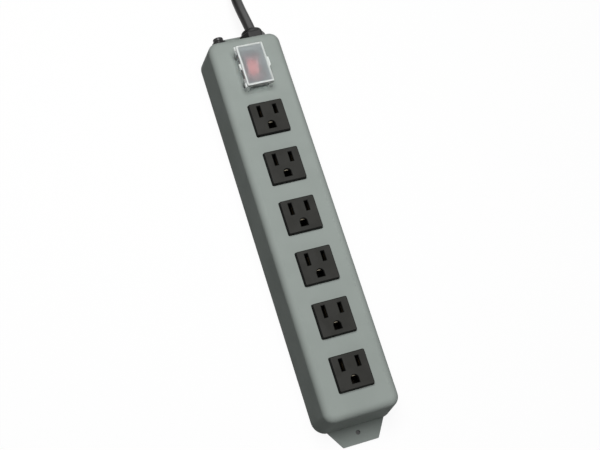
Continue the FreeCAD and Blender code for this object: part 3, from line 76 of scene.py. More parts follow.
class Side(Enum):
    """Which way a face looks."""

    LEFT = (-1, 0, 0)
    RIGHT = (1, 0, 0)
    NEAR = (0, -1, 0)
    FAR = (0, 1, 0)
    DOWN = (0, 0, -1)
    UP = (0, 0, 1)

    @property
    def way(self) -> Vector:
        """The side's direction."""
        return Vector(self.value)


class Combine(Enum):
    """How one solid acts on another."""

    ADD = "UNION"
    CUT = "DIFFERENCE"


# ---------------------------------------------------------------- node writing
class Graph:
    """Writes one node tree: nodes by kind, inputs by name, and links where an input is a socket."""

    def __init__(self, tree: bpy.types.NodeTree) -> None:
        """Start on a tree."""
        self.tree = tree

    @classmethod
    def fresh(cls, holder: bpy.types.Material | bpy.types.World) -> "Graph":
        """Start on the emptied tree of a new material or world.

        Args:
            holder: the material or world.

        Returns:
            The writer of its tree.
        """
        holder.use_nodes = True
        holder.node_tree.nodes.clear()
        return cls(holder.node_tree)

    def feed(self, socket: Socket, value: object) -> None:
        """Link a source socket to an input, or set the input's plain value.

        Args:
            socket: the input.
            value: a source socket or a plain value.
        """
        if isinstance(value, Socket):
            self.tree.links.new(value, socket)
        else:
            socket.default_value = value

    def fill(self, node: Node, **inputs: object) -> Node:
        """Feed a node's inputs by name.

        Args:
            node: the node.
            inputs: plain values or source sockets by input name, with underscores for spaces.

        Returns:
            The node.
        """
        for name, value in inputs.items():
            self.feed(node.inputs[name.replace("_", " ")], value)
        return node

    def add(self, kind: str, options: dict | None = None, **inputs: object) -> Node:
        """Add a node.

        Args:
            kind: the node's type name.
            options: settings that aren't sockets, such as an operation.
            inputs: as fill takes them.

        Returns:
            The new node.
        """
        node = self.tree.nodes.new(kind)
        for name, value in (options or {}).items():
            setattr(node, name, value)
        return self.fill(node, **inputs)

    def maths(self, operation: str, a: object, b: object = 0.0) -> Socket:
        """Do a sum.

        Args:
            operation: the Math node's operation.
            a: its first input.
            b: its second input.

        Returns:
            The result.
        """
        node = self.add("ShaderNodeMath", {"operation": operation})
        self.feed(node.inputs[0], a)
        self.feed(node.inputs[1], b)
        return node.outputs[0]

    def weigh(self, first: object, share: float, second: object, other_share: float) -> Socket:
        """The sum of two values, each times its share."""
        return self.maths("ADD", self.maths("MULTIPLY", first, share),
                          self.maths("MULTIPLY", second, other_share))

    def spread(self, value: object, low: float, high: float, to_low: float = 0.0, to_high: float = 1.0
               ) -> Socket:
        """Map a value smoothly from one range to another, held at both ends."""
        return self.add("ShaderNodeMapRange", {"interpolation_type": "SMOOTHSTEP"}, Value=value, From_Min=low,
                        From_Max=high, To_Min=to_low, To_Max=to_high).outputs["Result"]

    def blend(self, mask: object, first: object, second: object) -> Socket:
        """Mix two colours by a mask.

        Args:
            mask: the factor, a socket or a number.
            first: linear RGB or a colour socket, at 0.
            second: linear RGB or a colour socket, at 1.

        Returns:
            The colour socket.
        """
        node = self.add("ShaderNodeMix", {"data_type": "RGBA"})
        self.feed(node.inputs[0], mask)
        for socket, colour in ((node.inputs[6], first), (node.inputs[7], second)):
            self.feed(socket, (*colour, 1.0) if isinstance(colour, tuple) else colour)
        return node.outputs[2]

    def mix(self, mask: Socket, first: Node, second: Node) -> Node:
        """Mix two shaders by a mask.

        Args:
            mask: the factor.
            first: the shader at 0.
            second: the shader at 1.

        Returns:
            The Mix Shader node.
        """
        node = self.add("ShaderNodeMixShader", Fac=mask)
        self.feed(node.inputs[1], first.outputs[0])
        self.feed(node.inputs[2], second.outputs[0])
        return node

    def noise(self, place: Socket, scale: object, detail: float) -> Socket:
        """Noise with about so many blobs to the metre."""
        return self.add("ShaderNodeTexNoise", Vector=place, Scale=scale, Detail=detail).outputs["Fac"]

    def bump(self, height: Socket, depth: float, below: Socket | None = None) -> Socket:
        """Turn a height into a normal.

        Args:
            height: from 0 to 1.
            depth: how deep that is, in metres.
            below: another bump's normal that this one lies on.

        Returns:
            The normal.
        """
        node = self.add("ShaderNodeBump", Height=height, Distance=depth, Strength=1.0)
        if below is not None:
            self.feed(node.inputs["Normal"], below)
        return node.outputs["Normal"]

    def coords(self, kind: str = "Object") -> Socket:
        """Object coordinates or the object's own normal, which both stay with the piece."""
        return self.add("ShaderNodeTexCoord").outputs[kind]

    def axes(self, place: Socket) -> tuple[Socket, Socket, Socket]:
        """A place's X, Y and Z."""
        return tuple(self.add("ShaderNodeSeparateXYZ", Vector=place).outputs)


class Shared(Enum):
    """Node groups that more than one material uses."""

    GRAIN = "grain"
    HANDLING = "handling"


def start_group(which: Shared, size: float, outputs: tuple[str, str]) -> tuple[Graph, Socket, Socket]:
    """Start a shared group with inputs Place and Size.

    Args:
        which: the group.
        size: the usual Size, in metres.
        outputs: the names of its two outputs, which are numbers.

    Returns:
        Its writer, its Place, and how many times its Size fits in a metre.
    """
    tree = bpy.data.node_groups.new(which.value, "ShaderNodeTree")
    tree.interface.new_socket(name="Place", in_out="INPUT", socket_type="NodeSocketVector")
    tree.interface.new_socket(name="Size", in_out="INPUT", socket_type="NodeSocketFloat").default_value = size
    for name in outputs:
        tree.interface.new_socket(name=name, in_out="OUTPUT", socket_type="NodeSocketFloat")
    g = Graph(tree)
    inside = g.add("NodeGroupInput")
    return g, inside.outputs["Place"], g.maths("DIVIDE", 1.0, inside.outputs["Size"])


def build_grain() -> None:
    """A fine moulded or sprayed grain: a height for bump, and a slow mottle for colour."""
    g, place, density = start_group(Shared.GRAIN, 0.001, ("Height", "Mottle"))
    slow = g.noise(place, g.maths("MULTIPLY", density, 0.05), 4.0)
    g.add("NodeGroupOutput", Height=g.noise(place, density, 3.0), Mottle=g.spread(slow, 0.32, 0.68))


def build_handling() -> None:
    """Light signs of handling: hairline scratches, here and there, and dull patches."""
    g, place, density = start_group(Shared.HANDLING, 0.01, ("Scratch", "Dull"))
    drawn = g.add("ShaderNodeMapping", Vector=place, Rotation=(0.2, 0.3, 0.6), Scale=(1.0, 0.06, 1.0))
    lines = g.noise(drawn.outputs["Vector"], g.maths("MULTIPLY", density, 9.0), 1.0)
    thin = g.spread(g.maths("ABSOLUTE", g.maths("SUBTRACT", lines, 0.5)), 0.0, 0.006, 1.0, 0.0)
    where = g.noise(place, density, 2.0)
    g.add("NodeGroupOutput", Scratch=g.maths("MULTIPLY", thin, g.spread(where, 0.56, 0.7)),
          Dull=g.spread(where, 0.35, 0.7))


def shared(g: Graph, which: Shared, place: Socket, size: float) -> tuple[Socket, Socket]:
    """Place a shared group in a tree, built on first use.

    Args:
        g: the tree's writer.
        which: the group.
        place: the coordinates it reads.
        size: the size of its detail, in metres.

    Returns:
        Its two outputs: height and mottle, or scratch and dull.
    """
    if which.value not in bpy.data.node_groups:
        {Shared.GRAIN: build_grain, Shared.HANDLING: build_handling}[which]()
    tree = bpy.data.node_groups[which.value]
    return tuple(g.add("ShaderNodeGroup", {"node_tree": tree}, Place=place, Size=size).outputs)


# ---------------------------------------------------------------- finishes
@dataclass(frozen=True)
class Finish:
    """A finish that builds one material. Colours are linear RGB."""

    name: str
    colour: Triple
    roughness: float = 0.5
    gloss: float = 0.5

    def material(self) -> bpy.types.Material:
        """The finish's material, built on first use. The CAD's own slots already use the plain name.

        Returns:
            The material.
        """
        title = "finish_" + self.name
        found = bpy.data.materials.get(title)
        if found:
            return found
        made = bpy.data.materials.new(title)
        g = Graph.fresh(made)
        surface = g.add("ShaderNodeBsdfPrincipled", Base_Color=(*self.colour, 1.0), Roughness=self.roughness,
                        Specular_IOR_Level=self.gloss)
        g.add("ShaderNodeOutputMaterial", Surface=surface.outputs[0])
        self.dress(g, surface, g.coords())
        return made

    def dress(self, g: Graph, surface: Node, place: Socket) -> None:
        """Add the finish's own detail to its shader.

        Args:
            g: the writer of its tree.
            surface: its shader.
            place: the object's coordinates.
        """

    def shade(self, factor: float) -> Triple:
        """The finish's colour made lighter or darker."""
        return tuple(min(1.0, c * factor) for c in self.colour)

    def shades(self, g: Graph, mask: Socket, low: float, high: float) -> Socket:
        """The colour between two shades of itself, by a mask."""
        return g.blend(mask, self.shade(low), self.shade(high))

    def rough(self, g: Graph, mask: Socket, less: float, more: float) -> Socket:
        """The roughness from a little less to a little more than usual, by a mask."""
        return g.spread(mask, 0.0, 1.0, self.roughness - less, self.roughness + more)

    def painted_top_light(self, g: Graph, colour: Socket, painted_side_shade: float) -> Socket:
        """The colour on faces that look up, as a painted highlight, and a darker painted shade down the
        sides.
        """
        up = g.axes(g.coords("Normal"))[2]
        return g.blend(g.spread(up, *PAINTED_LIGHT_RANGE), self.shade(painted_side_shade), colour)


@dataclass(frozen=True)
class Grained(Finish):
    """A finish with a fine grain and light signs of handling."""

    grain: float = 0.0004
    depth: float = 0.00002
    patch: float = 0.012

    def detail(self, g: Graph, place: Socket) -> tuple[Socket, ...]:
        """The grain's height and mottle, then scratches and dull patches."""
        return shared(g, Shared.GRAIN, place, self.grain) + shared(g, Shared.HANDLING, place, self.patch)


@dataclass(frozen=True)
class Enamel(Grained):
    """Baked enamel on steel, with a slight orange peel."""

    grain: float = 0.0011
    depth: float = 0.000018
    patch: float = 0.03

    def dress(self, g: Graph, surface: Node, place: Socket) -> None:
        """Peel, a slow mottle, dull patches and a few hairlines."""
        height, mottle, scratch, dull = self.detail(g, place)
        g.fill(surface, Base_Color=self.shades(g, g.weigh(mottle, 0.6, scratch, 0.3), 1.02, 0.95),
               Roughness=self.rough(g, dull, 0.0, 0.08), Normal=g.bump(height, self.depth))


@dataclass(frozen=True)
class Moulded(Grained):
    """Moulded plastic with a spark-eroded grain, and painted shade down the sides under a painted highlight
    on top, where a side shade is given.
    """

    painted_side_shade: float = 1.0

    def dress(self, g: Graph, surface: Node, place: Socket) -> None:
        """Grain in height, colour and gloss."""
        height, mottle, _, dull = self.detail(g, place)
        colour = self.shades(g, g.weigh(mottle, 0.6, height, 0.4), 1.1, 0.9)
        g.fill(surface, Base_Color=self.tone(g, place, colour), Roughness=self.rough(g, dull, 0.04, 0.06),
               Normal=g.bump(height, self.depth))

    def tone(self, g: Graph, place: Socket, colour: Socket) -> Socket:
        """The colour as it stands, or with painted shade down the sides and a painted highlight on top."""
        return colour if self.painted_side_shade == 1.0 else self.painted_top_light(g, colour, self.painted_side_shade)


@dataclass(frozen=True)
class OutletNylon(Moulded):
    """An outlet's nylon, with painted shade on its sides, its rounded edges and the walls of its holes, so
    that its flat face is paler.
    """

    # painted shade on the outlet's sides, rounded edges and the walls of its slots
    painted_side_shade: float = 0.12
    face_z: float = 0.0378
    face_fade: float = 0.0006

    def tone(self, g: Graph, place: Socket, colour: Socket) -> Socket:
        """Painted shade below the face and on its rounded edges."""
        on_face = g.maths("MULTIPLY", g.spread(g.axes(place)[2], self.face_z - self.face_fade, self.face_z),
                          g.spread(g.axes(g.coords("Normal"))[2], *FLAT))
        return g.blend(on_face, self.shade(self.painted_side_shade), colour)


@dataclass(frozen=True)
class Vinyl(Grained):
    """Soft vinyl, as on a cord's jacket or a moulded plug, with painted shade down the sides where a side
    shade is given.
    """

    grain: float = 0.0016
    depth: float = 0.00003
    patch: float = 0.02
    painted_side_shade: float = 1.0

    def dress(self, g: Graph, surface: Node, place: Socket) -> None:
        """Soft unevenness, a slow change of shade and of gloss, and painted shade down the sides under a
        painted highlight on top.
        """
        height, mottle, _, dull = self.detail(g, place)
        colour = self.painted_top_light(g, self.shades(g, mottle, 1.15, 0.85), self.painted_side_shade)
        g.fill(surface, Base_Color=colour, Roughness=self.rough(g, dull, 0.05, 0.08),
               Normal=g.bump(height, self.depth))


@dataclass(frozen=True)
class Metal(Finish):
    """Plated or formed metal with fine rolling marks, and painted shade below a height if one is given."""

    painted_shade_below: float = -1.0
    painted_shade_factor: float = 0.25
    fade: float = 0.0006
    mark: float = 0.0006
    depth: float = 0.00001
    patch: float = 0.006

    def dress(self, g: Graph, surface: Node, place: Socket) -> None:
        """Rolling marks across the sheet, slight staining, and painted shade below the given height.

        Args:
            g: the writer of its tree.
            surface: its shader.
            place: the object's coordinates.
        """
        drawn = g.add("ShaderNodeMapping", Vector=place, Scale=(1.0, 0.08, 1.0))
        marks = g.noise(drawn.outputs["Vector"], 1.0 / self.mark, 3.0)
        _, dull = shared(g, Shared.HANDLING, place, self.patch)
        # painted shade: darker below the given height, where the metal lies deep in an outlet's slots or
        # ground hole
        unshaded = g.spread(g.axes(place)[2], self.painted_shade_below - self.fade, self.painted_shade_below)
        colour = g.blend(unshaded, self.shade(self.painted_shade_factor), self.shades(g, dull, 1.05, 0.82))
        g.fill(surface, Metallic=1.0, Base_Color=colour, Normal=g.bump(marks, self.depth),
               Roughness=g.spread(marks, 0.3, 0.7, self.roughness - 0.06, self.roughness + 0.1))


@dataclass(frozen=True)
class Frosted(Finish):
    """Clear plastic with a frosted face."""

    transmission: float = 0.9
    bend: float = 1.47
    grain: float = 0.0005
    depth: float = 0.00001

    def dress(self, g: Graph, surface: Node, place: Socket) -> None:
        """Rough transmission and a faint cloudiness in its colour."""
        height, mottle = shared(g, Shared.GRAIN, place, self.grain)
        g.fill(surface, Transmission_Weight=self.transmission, IOR=self.bend,
               Base_Color=self.shades(g, mottle, 1.0, 0.96), Roughness=self.rough(g, mottle, 0.03, 0.03),
               Normal=g.bump(height, self.depth))


@dataclass(frozen=True)
class LitRed(Finish):
    """A translucent red rocker, with painted light palest over the lamp inside it."""

    lamp: tuple[float, float] = (-0.0004, 0.1258)
    reach: tuple[float, float] = (0.0060, 0.0088)
    painted_glow: Triple = (0.84, 0.14, 0.12)
    coat: tuple[float, float] = (0.4, 0.12)
    grain: float = 0.0007
    depth: float = 0.000008

    def dress(self, g: Graph, surface: Node, place: Socket) -> None:
        """A pale middle of painted lamp light in a deep red skin, under a clear coat.

        Args:
            g: the writer of its tree.
            surface: its shader.
            place: the object's coordinates.
        """
        height, mottle = shared(g, Shared.GRAIN, place, self.grain)
        across, along = (g.maths("DIVIDE", g.maths("SUBTRACT", axis, middle), reach)
                         for axis, middle, reach in zip(g.axes(place), self.lamp, self.reach))
        away = g.maths("ADD", g.maths("MULTIPLY", across, across), g.maths("MULTIPLY", along, along))
        # painted light: paler toward the place of the lamp inside, as if it shone through the red
        colour = g.blend(g.spread(away, 0.0, 1.0, 1.0, 0.0), self.shades(g, mottle, 1.15, 0.85), self.painted_glow)
        g.fill(surface, Coat_Weight=self.coat[0], Coat_Roughness=self.coat[1], Base_Color=colour,
               Normal=g.bump(height, self.depth))


@dataclass(frozen=True)
class Webbing(Finish):
    """A woven hook-and-loop strap: crossed threads under a short fuzz."""

    thread: float = 0.0007
    thread_depth: float = 0.00012
    fuzz: float = 0.0004
    fuzz_depth: float = 0.0001

    def dress(self, g: Graph, surface: Node, place: Socket) -> None:
        """Crossed threads in height and colour, and fuzz over them.

        Args:
            g: the writer of its tree.
            surface: its shader.
            place: the object's coordinates.
        """
        x, y, z = g.axes(place)
        rate = 2 * math.pi / self.thread
        warp = g.maths("SINE", g.maths("MULTIPLY", g.maths("ADD", x, z), rate))
        weft = g.maths("SINE", g.maths("MULTIPLY", y, rate))
        cloth = g.spread(g.maths("MULTIPLY", warp, weft), -1.0, 1.0)
        fuzz = g.noise(place, 1.0 / self.fuzz, 4.0)
        g.fill(surface, Base_Color=self.shades(g, cloth, 0.6, 1.3),
               Roughness=g.spread(fuzz, 0.3, 0.7, self.roughness, 0.98),
               Normal=g.bump(cloth, self.thread_depth, g.bump(fuzz, self.fuzz_depth)))


class Finishes:
    """Every finish on the strip."""

    HOUSING = Enamel("housing_enamel", (0.290, 0.322, 0.302), 0.62, 0.04)
    # The base plate's paint is a darker copy of the housing's: painted shade for its tabs, which lie in the
    # housing's shadow
    BASE = Enamel("base_enamel", (0.226, 0.251, 0.236), 0.62, 0.04)
    OUTLET = OutletNylon("outlet_nylon", (0.021, 0.021, 0.0185), 0.5, 0.10)
    TRAY = Moulded("tray_nylon", (0.03, 0.03, 0.03), 0.55)
    SWITCH = Moulded("switch_nylon", (0.016, 0.016, 0.017), 0.4, 0.3)
    ROCKER = LitRed("rocker_red", (0.14, 0.012, 0.012), 0.3)
    GUARD_FACE = Frosted("guard_face", (0.72, 0.765, 0.79), 0.48, transmission=0.94)
    GUARD_RIM = Frosted("guard_rim", (0.90, 0.93, 0.91), 0.4, transmission=0.45)
    # The skirt's dark grey is painted shade, so that it shows as dark as the shadow beside the lid
    GUARD_SKIRT = Frosted("guard_skirt", (0.36, 0.38, 0.37), 0.3, 0.15, transmission=0.93, bend=1.12)
    GUARD_FRAME = Frosted("guard_frame_clear", (0.82, 0.85, 0.84), 0.35, transmission=0.85)
    LAMP = Frosted("lamp_glass", (0.95, 0.86, 0.8), 0.08, transmission=1.0)
    COLLAR = Moulded("breaker_collar", (0.010, 0.010, 0.010), 0.35, 0.2)
    BUTTON = Moulded("button_plastic", (0.014, 0.014, 0.014), 0.3, 0.35)
    # The strain relief's and the cord's side shades are painted shade down their sides, and their colours a
    # painted highlight along their tops
    RELIEF = Moulded("relief_nylon", (0.034, 0.034, 0.034), 0.42, 0.12, painted_side_shade=0.15)
    CORD = Vinyl("cord_jacket", (0.078, 0.078, 0.078), 0.36, 0.25, painted_side_shade=0.1)
    PLUG = Vinyl("plug_vinyl", (0.022, 0.022, 0.022), 0.42, 0.25, grain=0.0012)
    STRAP = Webbing("tie_strap", (0.022, 0.022, 0.023), 0.8, 0.2)
    BRASS = Metal("contact_brass", (0.66, 0.50, 0.27), 0.3)
    # The buses carry painted shade: the blade buses all over, the ground bus below the top of its rolled lip,
    # as deep in the outlets' holes
    BLADE_BUS = Metal("bus_brass", (0.66, 0.50, 0.27), 0.4, painted_shade_below=0.05, painted_shade_factor=0.05)
    GROUND_BUS = Metal("ground_bus_brass", (0.50, 0.45, 0.34), 0.3, painted_shade_below=0.0355, painted_shade_factor=0.06)
    BLADE = Metal("blade_brass", (0.72, 0.60, 0.36), 0.26)
    ZINC = Metal("zinc_steel", (0.60, 0.61, 0.62), 0.34)
    # The hinge pin's near black is painted shade, so that it reads as the shadow between the lid's barrels
    PIN_PAINTED_DARK = Metal("pin_painted_dark_steel", (0.09, 0.09, 0.09), 0.5)
    GREEN = Metal("ground_green", (0.05, 0.28, 0.10), 0.38)
    WIRE_BLACK = Vinyl("wire_black", (0.02, 0.02, 0.02), 0.35)
    WIRE_WHITE = Vinyl("wire_white", (0.75, 0.75, 0.72), 0.38)
    WIRE_GREEN = Vinyl("wire_green", (0.03, 0.26, 0.08), 0.36)


# ---------------------------------------------------------------- modelling by hand
def only(*pieces: Piece) -> None:
    """Select these pieces alone, with the first of them active."""
    for other in bpy.context.selected_objects:
        other.select_set(False)
    for piece in reversed(pieces):
        piece.select_set(True)
        bpy.context.view_layer.objects.active = piece


@contextmanager
def editing(obj: Piece) -> Iterator[None]:
    """Edit mode on one object.

    Args:
        obj: the object.
    """
    only(obj)
    bpy.ops.object.mode_set(mode="EDIT")
    yield
    bpy.ops.object.mode_set(mode="OBJECT")


def choose(obj: Piece, what: str, test: Test) -> None:
    """Select edges or faces in edit mode.

    Args:
        obj: the object in edit mode.
        what: edges or faces.
        test: takes an element and its middle, and says whether it is chosen.
    """
    mesh = bmesh.from_edit_mesh(obj.data)
    bpy.ops.mesh.select_all(action="DESELECT")
    bpy.context.tool_settings.mesh_select_mode = (False, what == "edges", what == "faces")
    for element in getattr(mesh, what):
        if test(element, sum((v.co for v in element.verts), Vector()) / len(element.verts)):
            element.select_set(True)
    mesh.select_flush_mode()
    bmesh.update_edit_mesh(obj.data)


def choose_side(obj: Piece, side: Side) -> None:
    """Select the faces that look one way, in edit mode."""
    choose(obj, "faces", lambda face, _: face.normal.dot(side.way) > SQUARE_ON)


def runs_along(side: Side) -> Test:
    """A test for edges that run along a direction."""
    return lambda edge, _: abs((edge.verts[1].co - edge.verts[0].co).normalized().dot(side.way)) > IN_LINE


def link(name: str, data: bpy.types.ID) -> Piece:
    """A new object in the scene for a mesh, curve, lamp or camera.

    Args:
        name: its name.
        data: what it shows.

    Returns:
        The object.
    """
    obj = bpy.data.objects.new(name, data)
    bpy.context.scene.collection.objects.link(obj)
    return obj


def settle(obj: Piece) -> None:
    """Bring a finished piece to the origin, unturned and unscaled, with its place in its mesh."""
    only(obj)
    bpy.ops.object.transform_apply(location=True, rotation=True, scale=True)


def move(obj: Piece, place: Place, turn: Triple = (0.0, 0.0, 0.0)) -> None:
    """Turn a piece about the origin, carry it to its place and settle it.

    Args:
        obj: the piece, built about the origin.
        place: where its origin goes.
        turn: angles about X, Y and Z, in radians.
    """
    obj.rotation_euler = turn
    obj.location = place
    settle(obj)


def take(name: str) -> Piece:
    """The object that was just added, named and settled.

    Args:
        name: its name.

    Returns:
        The object.
    """
    obj = bpy.context.active_object
    obj.name = obj.data.name = name
    settle(obj)
    return obj


def block(name: str, corner: Place, other: Place) -> Piece:
    """A block between two opposite corners, ready to be shaped.

    Args:
        name: its name.
        corner: one corner.
        other: the opposite corner.

    Returns:
        The block.
    """
    corner, other = Vector(corner), Vector(other)
    bpy.ops.mesh.primitive_cube_add(size=1.0, location=(corner + other) / 2,
                                    scale=Vector(map(abs, other - corner)))
    return take(name)


def rod(name: str, start: Triple, end: Triple, radius: float, sides: int = 32) -> Piece:
    """A closed round bar, ready to be shaped.

    Args:
        name: its name.
        start: the middle of one end.
        end: the middle of the other end.
        radius: its radius.
        sides: how many sides it has.

    Returns:
        The bar.
    """
    start, end = Vector(start), Vector(end)
    way = end - start
    bpy.ops.mesh.primitive_cylinder_add(vertices=sides, radius=radius, depth=way.length,
                                        location=(start + end) / 2,
                                        rotation=way.to_track_quat("Z", "Y").to_euler())
    return take(name)


def recalculate(obj: Piece) -> None:
    """Merge doubles and turn every face outwards.

    Args:
        obj: the piece.
    """
    with editing(obj):
        bpy.ops.mesh.select_all(action="SELECT")
        bpy.ops.mesh.remove_doubles(threshold=DOUBLE)
        bpy.ops.mesh.normals_make_consistent(inside=False)


def apply_modifier(obj: Piece, kind: str, **settings: object) -> None:
    """Add a modifier, set it up and apply it.

    Args:
        obj: the object.
        kind: the modifier's type.
        settings: its settings by name.
    """
    only(obj)
    modifier = obj.modifiers.new(kind.lower(), kind)
    for name, value in settings.items():
        setattr(modifier, name, value)
    bpy.ops.object.modifier_apply(modifier=modifier.name)


def combine(obj: Piece, other: Piece, how: Combine) -> None:
    """Add another solid to a piece or cut it away, and take the other solid off the bench."""
    apply_modifier(obj, "BOOLEAN", object=other, operation=how.value, solver="EXACT")
    bpy.data.objects.remove(other)


def slice_off(obj: Piece, height: float, way: Vector) -> None:
    """Cut a solid at a plane, drop what lies on the side it faces, and close the cut.

    Args:
        obj: the solid.
        height: how far above the origin the plane passes.
        way: the way the plane faces.
    """
    with editing(obj):
        bpy.ops.mesh.select_all(action="SELECT")
        bpy.ops.mesh.bisect(plane_co=(0.0, 0.0, height), plane_no=way, use_fill=True, clear_outer=True)


def round_edges(obj: Piece, width: float, segments: int, test: Test) -> None:
    """Round the edges that pass a test.

    Args:
        obj: the piece.
        width: the rounding's width.
        segments: how many strips the rounding has.
        test: says which edges are rounded.
    """
    with editing(obj):
        choose(obj, "edges", test)
        bpy.ops.mesh.bevel(offset=width, segments=segments, affect="EDGES")


def sink(margin: float, depth: float) -> None:
    """Press the chosen faces in, inside a margin, in edit mode."""
    bpy.ops.mesh.inset(thickness=margin, depth=-depth)


def draw(way: Triple, scale: Triple = (1.0, 1.0, 1.0), about: Triple = (0.0, 0.0, 0.0)) -> None:
    """Draw the chosen faces out, and resize them about a point, in edit mode."""
    bpy.ops.mesh.extrude_region_move(TRANSFORM_OT_translate={"value": way})
    bpy.ops.transform.resize(value=scale, center_override=about)


def soften(obj: Piece, width: float, angle: float) -> None:
    """Round a piece's crisp edges for good, where they are sharper than an angle in degrees."""
    apply_modifier(obj, "BEVEL", width=width, segments=2, limit_method="ANGLE",
                   angle_limit=math.radians(angle))


def hand_over(obj: Piece, body: Body, slot: str, node: str, *finishes: Finish) -> Piece:
    """Finish a new piece: shading, materials, the body it rides on and the node it stands for.

    Args:
        obj: the piece, settled.
        body: what it rides on.
        slot: the record's material slot; not used.
        node: the CAD node that it replaces.
        finishes: its finishes in the order of its material slots.

    Returns:
        The piece.
    """
    only(obj)
    bpy.ops.object.shade_smooth_by_angle(angle=math.radians(SMOOTH_BELOW))
    chosen = [polygon.material_index for polygon in obj.data.polygons]
    obj.data.materials.clear()
    for finish in finishes:
        obj.data.materials.append(finish.material())
    obj.data.polygons.foreach_set("material_index", chosen)
    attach(obj, body.value)
    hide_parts(node)
    LOG.info("piece %s: %d faces, on %s, for %s", obj.name, len(obj.data.polygons), body.value, node)
    return obj


def dress(finish: Finish, *nodes: str, angle: float = 32.0) -> None:
    """Give CAD nodes a finish, and live modifiers that shade their curves and keep their edges crisp.

    Args:
        finish: their finish.
        nodes: the nodes.
        angle: edges sharper than this many degrees stay crisp.
    """
    for name in nodes:
        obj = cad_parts[name]
        obj.data.materials.clear()
        obj.data.materials.append(finish.material())
        for polygon in obj.data.polygons:
            polygon.use_smooth = True
        obj.modifiers.new("weld", "WELD").merge_threshold = 2 * DOUBLE
        obj.modifiers.new("split", "EDGE_SPLIT").split_angle = math.radians(angle)
        obj.modifiers.new("weighted", "WEIGHTED_NORMAL").keep_sharp = False
        LOG.info("node %s: %s", name, finish.name)


# ---------------------------------------------------------------- camera, light and floor
def hang(obj: Piece, place: Triple, way: Vector, roll: float = 0.0) -> None:
    """Hang a lamp or the camera.

    Args:
        obj: the lamp or camera.
        place: where it hangs.
        way: the way it faces.
        roll: its turn about that way, in degrees.
    """
    obj.location = place
    obj.rotation_mode = "QUATERNION"
    obj.rotation_quaternion = way.to_track_quat("-Z", "Y") @ Quaternion((0, 0, 1), math.radians(roll))


@dataclass
class Lamp:
    """One soft square lamp."""

    name: str
    place: Triple
    target: Triple
    size: float
    power: float

    def build(self) -> None:
        """Hang the lamp and aim it."""
        data = bpy.data.lights.new(self.name, "AREA")
        data.size, data.energy = self.size, self.power
        hang(link(self.name, data), self.place, Vector(self.target) - Vector(self.place))


